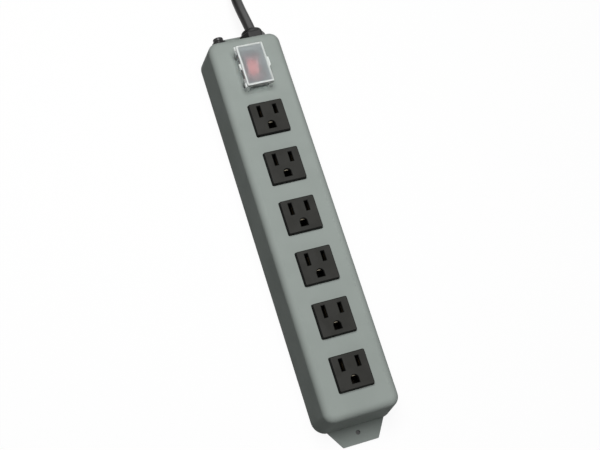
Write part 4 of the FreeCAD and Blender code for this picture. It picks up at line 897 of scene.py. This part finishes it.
@dataclass
class Studio:
    """The camera, the lamps, the world and the floor."""

    eye: Triple = (-0.22586, -0.23017, 0.80954)
    elevation: float = 67.84
    azimuth: float = -44.99
    roll: float = 29.19
    lens: float = 66.5
    sensor: float = 36.0
    ambient: float = 0.035
    floor_size: float = 8.0
    floor_drop: float = 0.00005
    floor_bounce: float = 0.045
    floor_glow: float = 0.9
    floor_paint: float = 0.95
    # a shadow painted on the floor under each screw hole: its paint, its place along Y, its reach and its
    # core
    hole_shadow_paint: float = 0.14
    hole_y: float = 0.16425
    hole_shade: float = 0.0035
    hole_core: float = 0.0028
    lamps: tuple[Lamp, ...] = (
        Lamp("overhead", (-0.08, 0.20, 1.15), (0.0, 0.0, 0.0), 0.8, 15.0),
        Lamp("near_fill", (0.1, -1.2, 0.5), (0.0, -0.1, 0.0), 0.8, 1.5),
    )

    def build_camera(self) -> None:
        """Stand the camera above the near left corner, looking down along the strip."""
        a, e = math.radians(self.azimuth), math.radians(self.elevation)
        back = Vector((math.sin(a) * math.cos(e), -math.cos(a) * math.cos(e), math.sin(e)))
        data = bpy.data.cameras.new("camera")
        data.lens, data.sensor_width, data.clip_start = self.lens, self.sensor, 0.01
        camera = bpy.context.scene.camera = link("camera", data)
        hang(camera, self.eye, -back, self.roll)

    def seen_directly(self, g: Graph) -> Socket:
        """Tell what the camera, a mirror or glass shows from light on the object.

        Args:
            g: the writer of a tree.

        Returns:
            1 for what is shown, and 0 for light.
        """
        path = g.add("ShaderNodeLightPath")
        first = g.maths("MAXIMUM", path.outputs["Is Camera Ray"], path.outputs["Is Glossy Ray"])
        return g.maths("MAXIMUM", first, path.outputs["Is Transmission Ray"])

    def build_world(self) -> None:
        """A white world that lights the object only weakly."""
        world = bpy.context.scene.world = bpy.data.worlds.new("world")
        g = Graph.fresh(world)
        level = g.spread(self.seen_directly(g), 0.0, 1.0, self.ambient, 1.0)
        sky = g.add("ShaderNodeBackground", Color=(1.0, 1.0, 1.0, 1.0), Strength=level)
        g.add("ShaderNodeOutputWorld", Surface=sky.outputs[0])

    def painted_hole_shadow(self, g: Graph) -> Socket:
        """1 where a shadow is painted on the floor seen through the tabs' screw holes, where no lamp reaches.

        Args:
            g: the floor's writer.

        Returns:
            The mask.
        """
        x, y, _ = g.axes(g.coords())
        along = g.maths("SUBTRACT", g.maths("ABSOLUTE", y), self.hole_y)
        away = g.maths("SQRT", g.maths("ADD", g.maths("MULTIPLY", x, x), g.maths("MULTIPLY", along, along)))
        return g.spread(away, self.hole_core, self.hole_shade, 1.0, 0.0)

    def build_floor(self) -> None:
        """A white floor that keeps a faint shadow, with a shadow painted under the screw holes, and throws
        little light back.
        """
        bpy.ops.mesh.primitive_plane_add(size=self.floor_size, location=(0.0, 0.0, -self.floor_drop))
        floor = take("floor")
        made = bpy.data.materials.new("floor_white")
        g = Graph.fresh(made)
        holes = self.painted_hole_shadow(g)
        # painted shadow under the screw holes, in the floor's paint and in its white
        paint = g.blend(holes, (self.floor_paint,) * 3, (self.hole_shadow_paint,) * 3)
        shown = g.mix(g.spread(holes, 0.0, 1.0, self.floor_glow, 0.0),
                      g.add("ShaderNodeBsdfDiffuse", Color=paint),
                      g.add("ShaderNodeEmission", Color=(1.0, 1.0, 1.0, 1.0), Strength=1.0))
        plain = g.add("ShaderNodeBsdfDiffuse", Color=(self.floor_bounce,) * 3 + (1.0,))
        g.add("ShaderNodeOutputMaterial", Surface=g.mix(self.seen_directly(g), plain, shown).outputs[0])
        floor.data.materials.append(made)

    def build(self) -> None:
        """Build everything but the object."""
        bpy.context.scene.view_settings.view_transform = "Standard"
        self.build_camera()
        for lamp in self.lamps:
            lamp.build()
        self.build_world()
        self.build_floor()
        LOG.info("studio: camera, %d lamps, world and floor", len(self.lamps))


# ---------------------------------------------------------------- housing and outlets
@dataclass
class Housing:
    """The drawn steel shell, its base plate with two screw tabs, and the four screws under it."""

    def build(self) -> None:
        """Paint the steel and plate the screws."""
        dress(Finishes.HOUSING, "housing_shell")
        dress(Finishes.BASE, "base_plate")
        dress(Finishes.ZINC, "base_screws")


@dataclass
class Outlets:
    """Six nylon outlets over two blade buses and a ground bus in one tray."""

    count: int = 6
    crisp_angle: float = 25.0

    def build(self) -> None:
        """Dress the faces, the contacts in them and the tray under them."""
        names = ["outlet_%d" % (index + 1) for index in range(self.count)]
        dress(Finishes.OUTLET, *names, angle=self.crisp_angle)
        dress(Finishes.BLADE_BUS, "live_bus", "neutral_bus")
        dress(Finishes.GROUND_BUS, "ground_bus")
        dress(Finishes.TRAY, "bus_tray")


# ---------------------------------------------------------------- switch and guard
@dataclass
class Switch:
    """The lighted rocker switch: a new rocker in the CAD's case, over its contacts and lamp."""

    axis: Triple = (0.0, 0.126, 0.0345)
    width: float = 0.0112
    radius: float = 0.0116
    sides: int = 96
    valley: float = 0.0036
    half_swing_deg: float = 9.0
    skirt_drop: float = 0.0015
    shoulder_y: float = 0.0070
    shoulder_drop: float = 0.0040
    tip_y: float = 0.0010
    tip_drop: float = 0.0065
    dish_margin: float = 0.0009
    dish_depth: float = 0.00025
    bowl_margin: float = 0.0010
    bowl_depth: float = 0.00012
    pin_hole: float = 0.00105
    bar_radius: float = 0.0004
    bar_length: float = 0.0064
    bar_sides: int = 16
    bar_places: Triple = (0.0052, 0.0067, 0.0082)
    edge: float = 0.0002
    edge_angle: float = 40.0

    def shape_half(self) -> Piece:
        """The half of the rocker on the far side of its axis, open where the halves meet.

        Returns:
            The half.
        """
        slope = math.radians(self.half_swing_deg)
        half = rod("rocker_red", (-self.width / 2, 0, 0), (self.width / 2, 0, 0), self.radius, self.sides)
        slice_off(half, 0.0, Side.NEAR.way)
        slice_off(half, self.valley, Vector((0, -math.sin(slope), math.cos(slope))))
        slice_off(half, -self.skirt_drop, Side.DOWN.way)
        with editing(half):
            choose_side(half, Side.DOWN)
            before, reach = self.skirt_drop, math.sqrt(self.radius ** 2 - self.skirt_drop ** 2)
            for drop, end_y in ((self.shoulder_drop, self.shoulder_y), (self.tip_drop, self.tip_y)):
                draw((0.0, 0.0, before - drop), (1.0, end_y / reach, 1.0), (0.0, 0.0, -drop))
                before, reach = drop, end_y
            choose(half, "faces", lambda face, _: face.normal.z > NEARLY_UP)
            sink(self.dish_margin, self.dish_depth)
            sink(self.bowl_margin, self.bowl_depth)
            choose(half, "faces", lambda face, at: face.normal.y < -SQUARE_ON and abs(at.y) < HAIR)
            bpy.ops.mesh.delete(type="FACE")
        return half

    def build_rocker(self) -> None:
        """Mirror the half, bore it for its pin, put grip bars on its raised end and tilt it."""
        rocker = self.shape_half()
        apply_modifier(rocker, "MIRROR", use_axis=(False, True, False), merge_threshold=DOUBLE)
        recalculate(rocker)
        combine(rocker, rod("pin_hole", (-self.width, 0, 0), (self.width, 0, 0), self.pin_hole), Combine.CUT)
        soften(rocker, self.edge, self.edge_angle)
        slope = math.radians(self.half_swing_deg)
        reach = self.bar_length / 2
        for y in self.bar_places:
            z = self.valley + y * math.tan(slope) - self.dish_depth - self.bowl_depth
            bar = rod("bar", (-reach, y, z), (reach, y, z), self.bar_radius, self.bar_sides)
            round_edges(bar, self.bar_radius / 2, 2, lambda edge, at: abs(abs(at.x) - reach) < HAIR)
            combine(rocker, bar, Combine.ADD)
        move(rocker, self.axis, (slope, 0, 0))
        hand_over(rocker, Body.ROCKER, "rocker_red", "rocker", Finishes.ROCKER)

    def build(self) -> None:
        """Build the rocker and dress the rest."""
        self.build_rocker()
        dress(Finishes.SWITCH, "switch_case")
        dress(Finishes.ZINC, "rocker_pin")
        dress(Finishes.BRASS, "contact_seesaw", "switch_terminals")
        dress(Finishes.LAMP, "switch_lamp")


class LidPart(Enum):
    """The parts of the lid that look different, by their material slot."""

    FACE = 0
    RIM = 1
    SKIRT = 2


@dataclass
class Guard:
    """The hinged guard over the switch: a new lid with clear middle and cloudy rim, on the CAD's frame."""

    width: float = 0.022
    length: float = 0.035
    middle_y: float = 0.126
    top: float = 0.0452
    wall: float = 0.0011
    skirt: float = 0.0024
    corner: float = 0.0012
    leg_corner: float = 0.00096
    corner_steps: int = 4
    top_edge: float = 0.0005
    top_edge_steps: int = 3
    rim: float = 0.0011
    foot: float = 0.0352
    arm: float = 0.0028
    hinge_x: float = -0.0113
    hinge_z: float = 0.0426
    hinge_radius: float = 0.0012
    hinge_bore: float = 0.00055
    bore_sides: int = 24
    hinge_gap: float = 0.0003
    mid_barrel: float = 0.005
    frame_knuckle: float = 0.0032
    tab_length: float = 0.0078
    tab_reach: float = 0.0012
    tab_thickness: float = 0.0014
    tab_corner: float = 0.001
    tab_steps: int = 5

    @property
    def under(self) -> float:
        """The cover's underside."""
        return self.top - self.wall

    @property
    def skirt_foot(self) -> float:
        """The skirt's lower edge."""
        return self.under - self.skirt

    @property
    def clear(self) -> tuple[float, float]:
        """How far the clear middle reaches along X and Y."""
        return self.width / 2 - self.rim - self.top_edge, self.length / 2 - self.rim - self.top_edge

    @property
    def corner_span(self) -> float:
        """How far a corner leg and a corner barrel reach along Y."""
        return self.arm + self.wall / 2

    def barrel_spans(self) -> list[tuple[float, float]]:
        """Where the lid's hinge barrels are along Y.

        Returns:
            The far corner's, the middle one's and the near corner's.
        """
        far = self.middle_y + self.length / 2
        near = self.middle_y - self.length / 2
        return [(far - self.corner_span, far),
                (self.middle_y - self.mid_barrel / 2, self.middle_y + self.mid_barrel / 2),
                (near, near + self.corner_span)]

    def shape_cover(self) -> Piece:
        """The hollow cover, with a rim marked out on its top.

        Returns:
            The cover.
        """
        x, y = self.width / 2, self.length / 2
        lid = block("guard_lid_frosted", (-x, self.middle_y - y, self.skirt_foot),
                    (x, self.middle_y + y, self.top))
        round_edges(lid, self.corner, self.corner_steps, runs_along(Side.UP))
        with editing(lid):
            choose_side(lid, Side.DOWN)
            sink(self.wall, 0.0)
            draw((0.0, 0.0, self.skirt))
        round_edges(lid, self.top_edge, self.top_edge_steps,
                    lambda edge, _: all(v.co.z > self.top - HAIR for v in edge.verts))
        middle = Vector((0, self.middle_y, 0))
        for side in (Side.RIGHT, Side.LEFT, Side.FAR, Side.NEAR):
            reach = self.clear[0] if side.way.x else self.clear[1]
            with editing(lid):
                choose(lid, "faces", lambda face, at: face.normal.z > SQUARE_ON and at.z > self.top - HAIR)
                bpy.ops.mesh.bisect(plane_co=middle + reach * side.way, plane_no=side.way)
        return lid

    def add_legs(self, lid: Piece) -> None:
        """Four corner legs, folded round the corner where the hinge leaves room.

        Args:
            lid: the cover.
        """
        reach = self.skirt_foot + self.wall / 2
        for side_x in (-1, 1):
            for side_y in (-1, 1):
                outer = Vector((side_x * self.width / 2, self.middle_y + side_y * self.length / 2, self.foot))
                along = self.corner_span if side_x > 0 else self.wall
                inner = outer - Vector((side_x * self.arm, side_y * along, self.foot - reach))
                leg = block("leg", outer, inner)
                round_edges(leg, self.leg_corner, self.corner_steps, lambda edge, at: runs_along(Side.UP)(
                    edge, at) and (at.xy - outer.xy).length < HAIR)
                if side_x > 0:
                    step = Vector((side_x * self.wall, side_y * self.wall, self.wall))
                    combine(leg, block("hollow", outer - step, inner - step + Vector((0, 0, 2 * self.wall))),
                            Combine.CUT)
                combine(lid, leg, Combine.ADD)

    def add_hinge(self, lid: Piece) -> None:
        """Notches for the frame's knuckles, three barrels, and the bore through them.

        Args:
            lid: the cover.
        """
        far, _, near = self.barrel_spans()
        room = 2 * self.hinge_gap + self.frame_knuckle
        for start, end in ((far[0] - room, far[0]), (near[1], near[1] + room)):
            combine(lid, block("notch", (-self.width / 2 - self.wall, start, self.skirt_foot - self.wall),
                               (-self.width / 2 + 2 * self.wall, end, self.under)), Combine.CUT)
        for start, end in self.barrel_spans():
            combine(lid, rod("barrel", (self.hinge_x, start, self.hinge_z), (self.hinge_x, end, self.hinge_z),
                             self.hinge_radius), Combine.ADD)
        combine(lid, rod("bore", (self.hinge_x, self.middle_y - self.length, self.hinge_z),
                         (self.hinge_x, self.middle_y + self.length, self.hinge_z), self.hinge_bore,
                         self.bore_sides), Combine.CUT)

    def add_finger_tab(self, lid: Piece) -> None:
        """The tab that a finger lifts.

        Args:
            lid: the cover.
        """
        tip = self.width / 2 + self.tab_reach
        y, z = self.tab_length / 2, self.tab_thickness / 2
        tab = block("finger_tab", (self.width / 2 - self.wall / 2, self.middle_y - y, self.under - z),
                    (tip, self.middle_y + y, self.under + z))
        round_edges(tab, self.tab_corner, self.tab_steps,
                    lambda edge, at: runs_along(Side.UP)(edge, at) and at.x > tip - HAIR)
        combine(lid, tab, Combine.ADD)

    def on_barrel(self, at: Vector) -> bool:
        """Whether a point belongs to a hinge barrel."""
        away = math.hypot(at.x - self.hinge_x, at.z - self.hinge_z)
        return away < self.hinge_radius + HAIR and any(
            start - HAIR < at.y < end + HAIR for start, end in self.barrel_spans())

    def part_at(self, at: Vector, normal: Vector) -> LidPart:
        """Which part of the lid a face belongs to: clear middle, clear skirt, or cloudy rim, leg or barrel.

        Args:
            at: the face's middle.
            normal: the way it looks.

        Returns:
            The part.
        """
        x, y = self.clear
        if abs(normal.z) > SQUARE_ON and abs(at.x) < x and abs(at.y - self.middle_y) < y:
            return LidPart.FACE
        on_wall = self.skirt_foot < at.z < self.top - self.top_edge - HAIR
        if on_wall and abs(at.x) < self.width / 2 + HAIR and not self.on_barrel(at):
            return LidPart.SKIRT
        return LidPart.RIM

    def build(self) -> None:
        """Build the lid, and dress the frame and the hinge pin."""
        lid = self.shape_cover()
        self.add_legs(lid)
        self.add_hinge(lid)
        self.add_finger_tab(lid)
        recalculate(lid)
        for polygon in lid.data.polygons:
            polygon.material_index = self.part_at(polygon.center, polygon.normal).value
        hand_over(lid, Body.LID, "guard_frosted", "guard_lid", Finishes.GUARD_FACE, Finishes.GUARD_RIM,
                  Finishes.GUARD_SKIRT)
        dress(Finishes.GUARD_FRAME, "guard_frame")
        # the pin's near black is painted shade between the barrels
        dress(Finishes.PIN_PAINTED_DARK, "guard_hinge_pin")


# ---------------------------------------------------------------- end wall and wiring
@dataclass
class EndFittings:
    """The reset breaker and the cord's strain relief in the far end wall."""

    crisp_angle: float = 30.0

    def build(self) -> None:
        """Dress the fittings."""
        for finish, *nodes in ((Finishes.SWITCH, "breaker_case"), (Finishes.COLLAR, "breaker_nut"),
                               (Finishes.BUTTON, "reset_button"), (Finishes.BRASS, "breaker_terminals"),
                               (Finishes.RELIEF, "strain_relief", "relief_locknut"),
                               (Finishes.CORD, "cord_jacket_end")):
            dress(finish, *nodes, angle=self.crisp_angle)


@dataclass
class Wiring:
    """The ground bonding and the insulated wires inside the shell."""

    def build(self) -> None:
        """Dress the wires in their colours."""
        dress(Finishes.ZINC, "ground_lugs")
        dress(Finishes.GREEN, "ground_screw")
        dress(Finishes.WIRE_BLACK, "wire_cord_to_breaker", "wire_breaker_to_switch",
              "wire_switch_to_live_bus")
        dress(Finishes.WIRE_WHITE, "wire_neutral")
        dress(Finishes.WIRE_GREEN, "wire_ground", "wire_ground_bus")


# ---------------------------------------------------------------- plug, ties and cord
@dataclass
class Plug:
    """The moulded straight-blade plug, lying inside the hank with its ground pin low."""

    rear: Triple = (-0.0134, 0.3085, 0.0126)
    width: float = 0.027
    height: float = 0.025
    length: float = 0.031
    corner: float = 0.006
    corner_steps: int = 6
    nose_edge: float = 0.0015
    nose_steps: int = 3
    edge: float = 0.0004
    edge_angle: float = 30.0
    shoulder: float = 0.008
    shoulder_half: float = 0.0086
    neck_length: float = 0.020
    neck_start: float = 0.0053
    neck_end: float = 0.00485
    neck_sides: int = 48
    groove: float = 0.0006
    ribs: int = 7
    rib_outline: tuple[tuple[float, float], ...] = ((0.18, 1.0), (0.30, 0.0), (0.88, 0.0), (1.0, 1.0))
    grips: int = 5
    grip_pitch: float = 0.0029
    grip_width: float = 0.0017
    grip_margin: float = 0.00034
    grip_depth: float = 0.0007
    panel_margin: float = 0.0022
    panel_depth: float = 0.0004
    blade_length: float = 0.0175
    blade_thickness: float = 0.0015
    blade_rise: float = 0.0052
    blade_spacing: float = 0.0127
    blade_heights: tuple[float, float] = (0.00635, 0.0079)
    blade_tip: float = 0.0012
    blade_edge: float = 0.00015
    blade_edge_angle: float = 40.0
    blade_hole: float = 0.0016
    hole_sides: int = 24
    hole_from_tip: float = 0.0042

    @property
    def neck(self) -> Vector:
        """Where the body ends and the ribbed neck begins."""
        return Vector(self.rear) - Vector((0, self.neck_length, 0))

    def shape_body(self) -> Piece:
        """The grip, its shoulder and the blank panel on its top.

        Returns:
            The body without its neck.
        """
        x, z = self.width / 2, self.height / 2
        body = block("plug_body_moulded", (-x, -self.length, -z), (x, -self.shoulder, z))
        round_edges(body, self.corner, self.corner_steps, runs_along(Side.FAR))
        with editing(body):
            choose_side(body, Side.FAR)
            draw((0.0, self.shoulder, 0.0), (2 * self.shoulder_half / self.width, 1.0,
                                             2 * self.shoulder_half / self.height))
        round_edges(body, self.nose_edge, self.nose_steps,
                    lambda edge, _: all(v.co.y < -self.length + HAIR for v in edge.verts))
        self.press_grips(body)
        with editing(body):
            choose_side(body, Side.UP)
            sink(self.panel_margin, self.panel_depth)
        return body

    def press_grips(self, body: Piece) -> None:
        """A row of finger grooves pressed into each side.

        Args:
            body: the plug's body.
        """
        middle = -(self.length + self.shoulder) / 2
        starts = [middle + (step - (self.grips - 1) / 2) * self.grip_pitch for step in range(self.grips)]
        for y in (start + side * self.grip_width / 2 for start in starts for side in (-1, 1)):
            with editing(body):
                choose(body, "faces", lambda face, _: abs(face.normal.x) > SQUARE_ON)
                bpy.ops.mesh.bisect(plane_co=(0.0, y, 0.0), plane_no=Side.FAR.way)
        with editing(body):
            choose(body, "faces", lambda face, at: abs(face.normal.x) > SQUARE_ON and any(
                abs(at.y - start) < self.grip_width / 4 for start in starts))
            sink(self.grip_margin, self.grip_depth)

    def shape_neck(self) -> Piece:
        """The neck that keeps the cord from kinking: a disc drawn out into ribs with grooves between them.

        Returns:
            The neck.
        """
        pitch = self.neck_length / self.ribs
        before, old = -self.corner / 2, self.neck_start - self.groove
        bpy.ops.mesh.primitive_circle_add(vertices=self.neck_sides, radius=old, fill_type="NGON",
                                          location=(0.0, before, 0.0), rotation=(math.radians(-90), 0.0, 0.0))
        neck = take("plug_neck")
        with editing(neck):
            bpy.ops.mesh.select_all(action="SELECT")
            for rib in range(self.ribs):
                crest = self.neck_start + (self.neck_end - self.neck_start) * rib / (self.ribs - 1)
                for share, deep in self.rib_outline:
                    y, radius = (rib + share) * pitch, crest - deep * self.groove
                    draw((0.0, y - before, 0.0), (radius / old, 1.0, radius / old), (0.0, y, 0.0))
                    before, old = y, radius
        recalculate(neck)
        return neck

    def build_body(self) -> Piece:
        """The whole moulding.

        Returns:
            The plug's body.
        """
        body = self.shape_body()
        soften(body, self.edge, self.edge_angle)
        combine(body, self.shape_neck(), Combine.ADD)
        move(body, self.neck)
        return hand_over(body, Body.STRIP, "plug_vinyl", "plug_body", Finishes.PLUG)

    def shape_blade(self, side: int, height: float) -> Piece:
        """One flat blade with a chamfered tip and a hole through it.

        Args:
            side: -1 or 1, for left or right.
            height: its height.

        Returns:
            The blade.
        """
        x, z = side * self.blade_spacing / 2, self.blade_rise
        half, tip_y = self.blade_thickness / 2, -self.length - self.blade_length
        blade = block("plug_blades_brass", (x - half, tip_y, z - height / 2),
                      (x + half, -self.length, z + height / 2))
        round_edges(blade, self.blade_tip, 1,
                    lambda edge, at: runs_along(Side.RIGHT)(edge, at) and at.y < tip_y + HAIR)
        hole_y = tip_y + self.hole_from_tip
        combine(blade, rod("blade_hole", (x - 2 * half, hole_y, z), (x + 2 * half, hole_y, z),
                           self.blade_hole, self.hole_sides), Combine.CUT)
        soften(blade, self.blade_edge, self.blade_edge_angle)
        return blade

    def build_blades(self) -> Piece:
        """The line and neutral blades as one piece.

        Returns:
            The blades.
        """
        blades = [self.shape_blade(side, height) for side, height in zip((-1, 1), self.blade_heights)]
        only(*blades)
        bpy.ops.object.join()
        move(blades[0], self.neck)
        return hand_over(blades[0], Body.STRIP, "contact_brass", "plug_blades", Finishes.BLADE)

    def build(self) -> list[Piece]:
        """Build the plug, and give its pieces."""
        dress(Finishes.BLADE, "plug_ground_pin")
        return [self.build_body(), self.build_blades(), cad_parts["plug_ground_pin"]]


@dataclass
class Ties:
    """Two hook-and-loop straps round the hank, each closed with its end lapped over on the outside."""

    places: tuple[tuple[float, float, float], ...] = ((0.01635, 0.32475, 0.0), (-0.04315, 0.3897, math.pi))
    bundle_width: float = 0.0171
    bundle_top: float = 0.01685
    reach: float = 0.0012
    width: float = 0.0088
    thickness: float = 0.0009
    corner: float = 0.0048
    corner_steps: int = 8
    lap_height: float = 0.0115
    lap_thickness: float = 0.0008
    lap_steps: int = 6
    edge: float = 0.00018
    edge_angle: float = 50.0

    def shape_strap(self) -> Piece:
        """One strap about the origin, its lapped end on the +X side.

        Returns:
            The strap.
        """
        x, y, half = self.bundle_width / 2 + self.reach, self.width / 2, self.thickness / 2
        top = self.bundle_top + self.reach
        strap = block("strap", (-x, -y, 0), (x, y, top))
        round_edges(strap, self.corner, self.corner_steps, runs_along(Side.FAR))
        with editing(strap):
            choose(strap, "faces", lambda face, _: abs(face.normal.y) > SQUARE_ON)
            bpy.ops.mesh.delete(type="FACE")
        recalculate(strap)
        apply_modifier(strap, "SOLIDIFY", thickness=self.thickness, offset=-1.0, use_even_offset=True)
        lap = block("lap", (x - half, half - y, (top - self.lap_height) / 2),
                    (x + self.lap_thickness, y - half, (top + self.lap_height) / 2))
        round_edges(lap, self.width / 4, self.lap_steps,
                    lambda edge, at: runs_along(Side.RIGHT)(edge, at) and at.z > top / 2)
        combine(strap, lap, Combine.ADD)
        soften(strap, self.edge, self.edge_angle)
        return strap

    def build(self) -> list[Piece]:
        """Model one strap, and copy it to each place.

        Returns:
            The straps.
        """
        model = self.shape_strap()
        straps = []
        for index, (x, y, turn) in enumerate(self.places):
            strap = link("cord_strap_%d" % (index + 1), model.data.copy())
            move(strap, (x, y, 0), (0, 0, turn))
            straps.append(hand_over(strap, Body.STRIP, "tie_strap", "hank_ties", Finishes.STRAP))
        bpy.data.objects.remove(model)
        return straps


@dataclass
class Cord:
    """The mains cord: free at first, then four turns in a tied hank, with its plug lying inside."""

    diameter: float = 0.0085
    length: float = 1.83
    hank_x: float = -0.0134
    near_y: float = 0.25525
    far_y: float = 0.39425
    inner_radius: float = 0.0255
    low_z: float = 0.00425
    high_z: float = 0.01255
    free: tuple[Triple, ...] = (
        (0.0126, 0.1667, 0.01994), (0.0120, 0.17605, 0.0185), (0.0114, 0.18955, 0.0147),
        (0.0117, 0.20305, 0.0103), (0.0138, 0.21705, 0.0062), (0.0183, 0.23105, 0.00425),
        (0.0206, 0.24505, 0.00425))
    tail: tuple[Triple, ...] = (
        (-0.0389, 0.38305, 0.00425), (-0.0384, 0.37065, 0.00425), (-0.0338, 0.35815, 0.00425),
        (-0.0263, 0.34575, 0.0056), (-0.0194, 0.33335, 0.0090), (-0.0144, 0.3210, 0.0119),
        (-0.0134, 0.3085, 0.0126))
    tie_lift: float = 0.0011
    slack: tuple[float, ...] = (0.0, 0.0012, -0.0006, 0.0007)
    change_starts: tuple[float, float] = (0.25, 0.0)
    change_span: float = 0.5
    fold_step: int = 30
    leg_steps: Triple = (0.26, 0.5, 0.74)
    settling: tuple[tuple[float, float], ...] = ((0.3620, 0.01255), (0.3480, 0.01135), (0.3340, 0.0072),
                                                 (0.3200, 0.00425), (0.2900, 0.00425))

    def ease(self, value: float) -> float:
        """A smooth step from 0 to 1."""
        t = min(1.0, max(0.0, value))
        return t * t * (3 - 2 * t)

    def fold(self, centre_y: float, start: int, at: Callable[[float], tuple[float, float]]) -> list[Vector]:
        """Control points of a fold. Their polygon stands outside the fold's circle, which its line touches.

        Args:
            centre_y: where the fold's circle has its middle.
            start: the angle at which the fold starts, in degrees.
            at: gives the radius and the height from how much of the fold has been run.

        Returns:
            The points in running order.
        """
        line = []
        for angle in range(start - self.fold_step // 2, start + 180 + self.fold_step, self.fold_step):
            radius, z = at((angle - start) / 180)
            a, reach = math.radians(angle), radius / math.cos(math.radians(self.fold_step / 2))
            line.append(Vector((self.hank_x + reach * math.cos(a), centre_y + reach * math.sin(a), z)))
        return line

    def leg(self, side: int, radius: float, z: float, lift: float = 0.0) -> list[Vector]:
        """Three control points along a straight side.

        Args:
            side: 1 for the side that runs away from the strip, -1 for the one that comes back.
            radius: the column's distance from the hank's middle line.
            z: its height.
            lift: how far the tie under it lifts its middle.

        Returns:
            The points in running order.
        """
        span = self.far_y - self.near_y
        return [Vector((self.hank_x + side * radius, self.near_y + span * t, z + up))
                for t, up in zip(self.leg_steps[::side], (0.0, lift, 0.0))]

    def points(self) -> list[Vector]:
        """The cord's control points from the strain relief to the plug.

        Returns:
            The points.
        """
        inner, low, high = self.inner_radius, self.low_z, self.high_z
        outer = inner + self.diameter
        turns = [(outer, low), (outer, high), (inner, high), (inner, low)]
        line = [Vector(p) for p in self.free]
        for index, (radius, z) in enumerate(turns):
            line += self.leg(1, radius, z, self.tie_lift if z == low else 0.0)
            line += self.fold(self.far_y + self.slack[index], 0, lambda _: (radius, z))
            if index < len(self.change_starts):
                to, start = turns[index + 1], self.change_starts[index]
                line += self.leg(-1, radius, z)
                line += self.fold(self.near_y, 180, lambda t: (
                    radius + (to[0] - radius) * self.ease((t - start) / self.change_span),
                    z + (to[1] - z) * self.ease((t - start) / self.change_span)))
            elif index == 2:
                line += [Vector((self.hank_x - radius, y, height)) for y, height in self.settling]
                line += self.fold(self.near_y, 180, lambda _: (radius, low))
        return line[:-1] + [Vector(p) for p in self.tail]

    def build(self, riders: list[Piece]) -> None:
        """Make the cord as one round curve.

        Args:
            riders: the pieces on the cord; not used.
        """
        points = self.points()
        data = bpy.data.curves.new("cord", "CURVE")
        data.dimensions = "3D"
        data.resolution_u = 8
        data.bevel_depth = self.diameter / 2
        data.bevel_resolution = 6
        data.use_fill_caps = True
        spline = data.splines.new("NURBS")
        spline.points.add(len(points) - 1)
        for target, point in zip(spline.points, points):
            target.co = (*point, 1.0)
        spline.order_u = 3
        spline.use_endpoint_u = True
        cord = link("mains_cord", data)
        data.materials.append(Finishes.CORD.material())
        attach(cord, Body.STRIP.value)
        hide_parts("cord_tube", "cord_hank", "cord_tail")
        LOG.info("cord: %d control points", len(points))


def main() -> None:
    """Build the studio and every sub-assembly, and report each."""
    logging.basicConfig(level=logging.INFO, format="%(message)s")
    Studio().build()
    riders = Plug().build() + Ties().build()
    Cord().build(riders)
    for assembly in (Housing(), Outlets(), Switch(), Guard(), EndFittings(), Wiring()):
        assembly.build()
        LOG.info("%s: done", type(assembly).__name__)


if __name__ == "__main__":
    main()
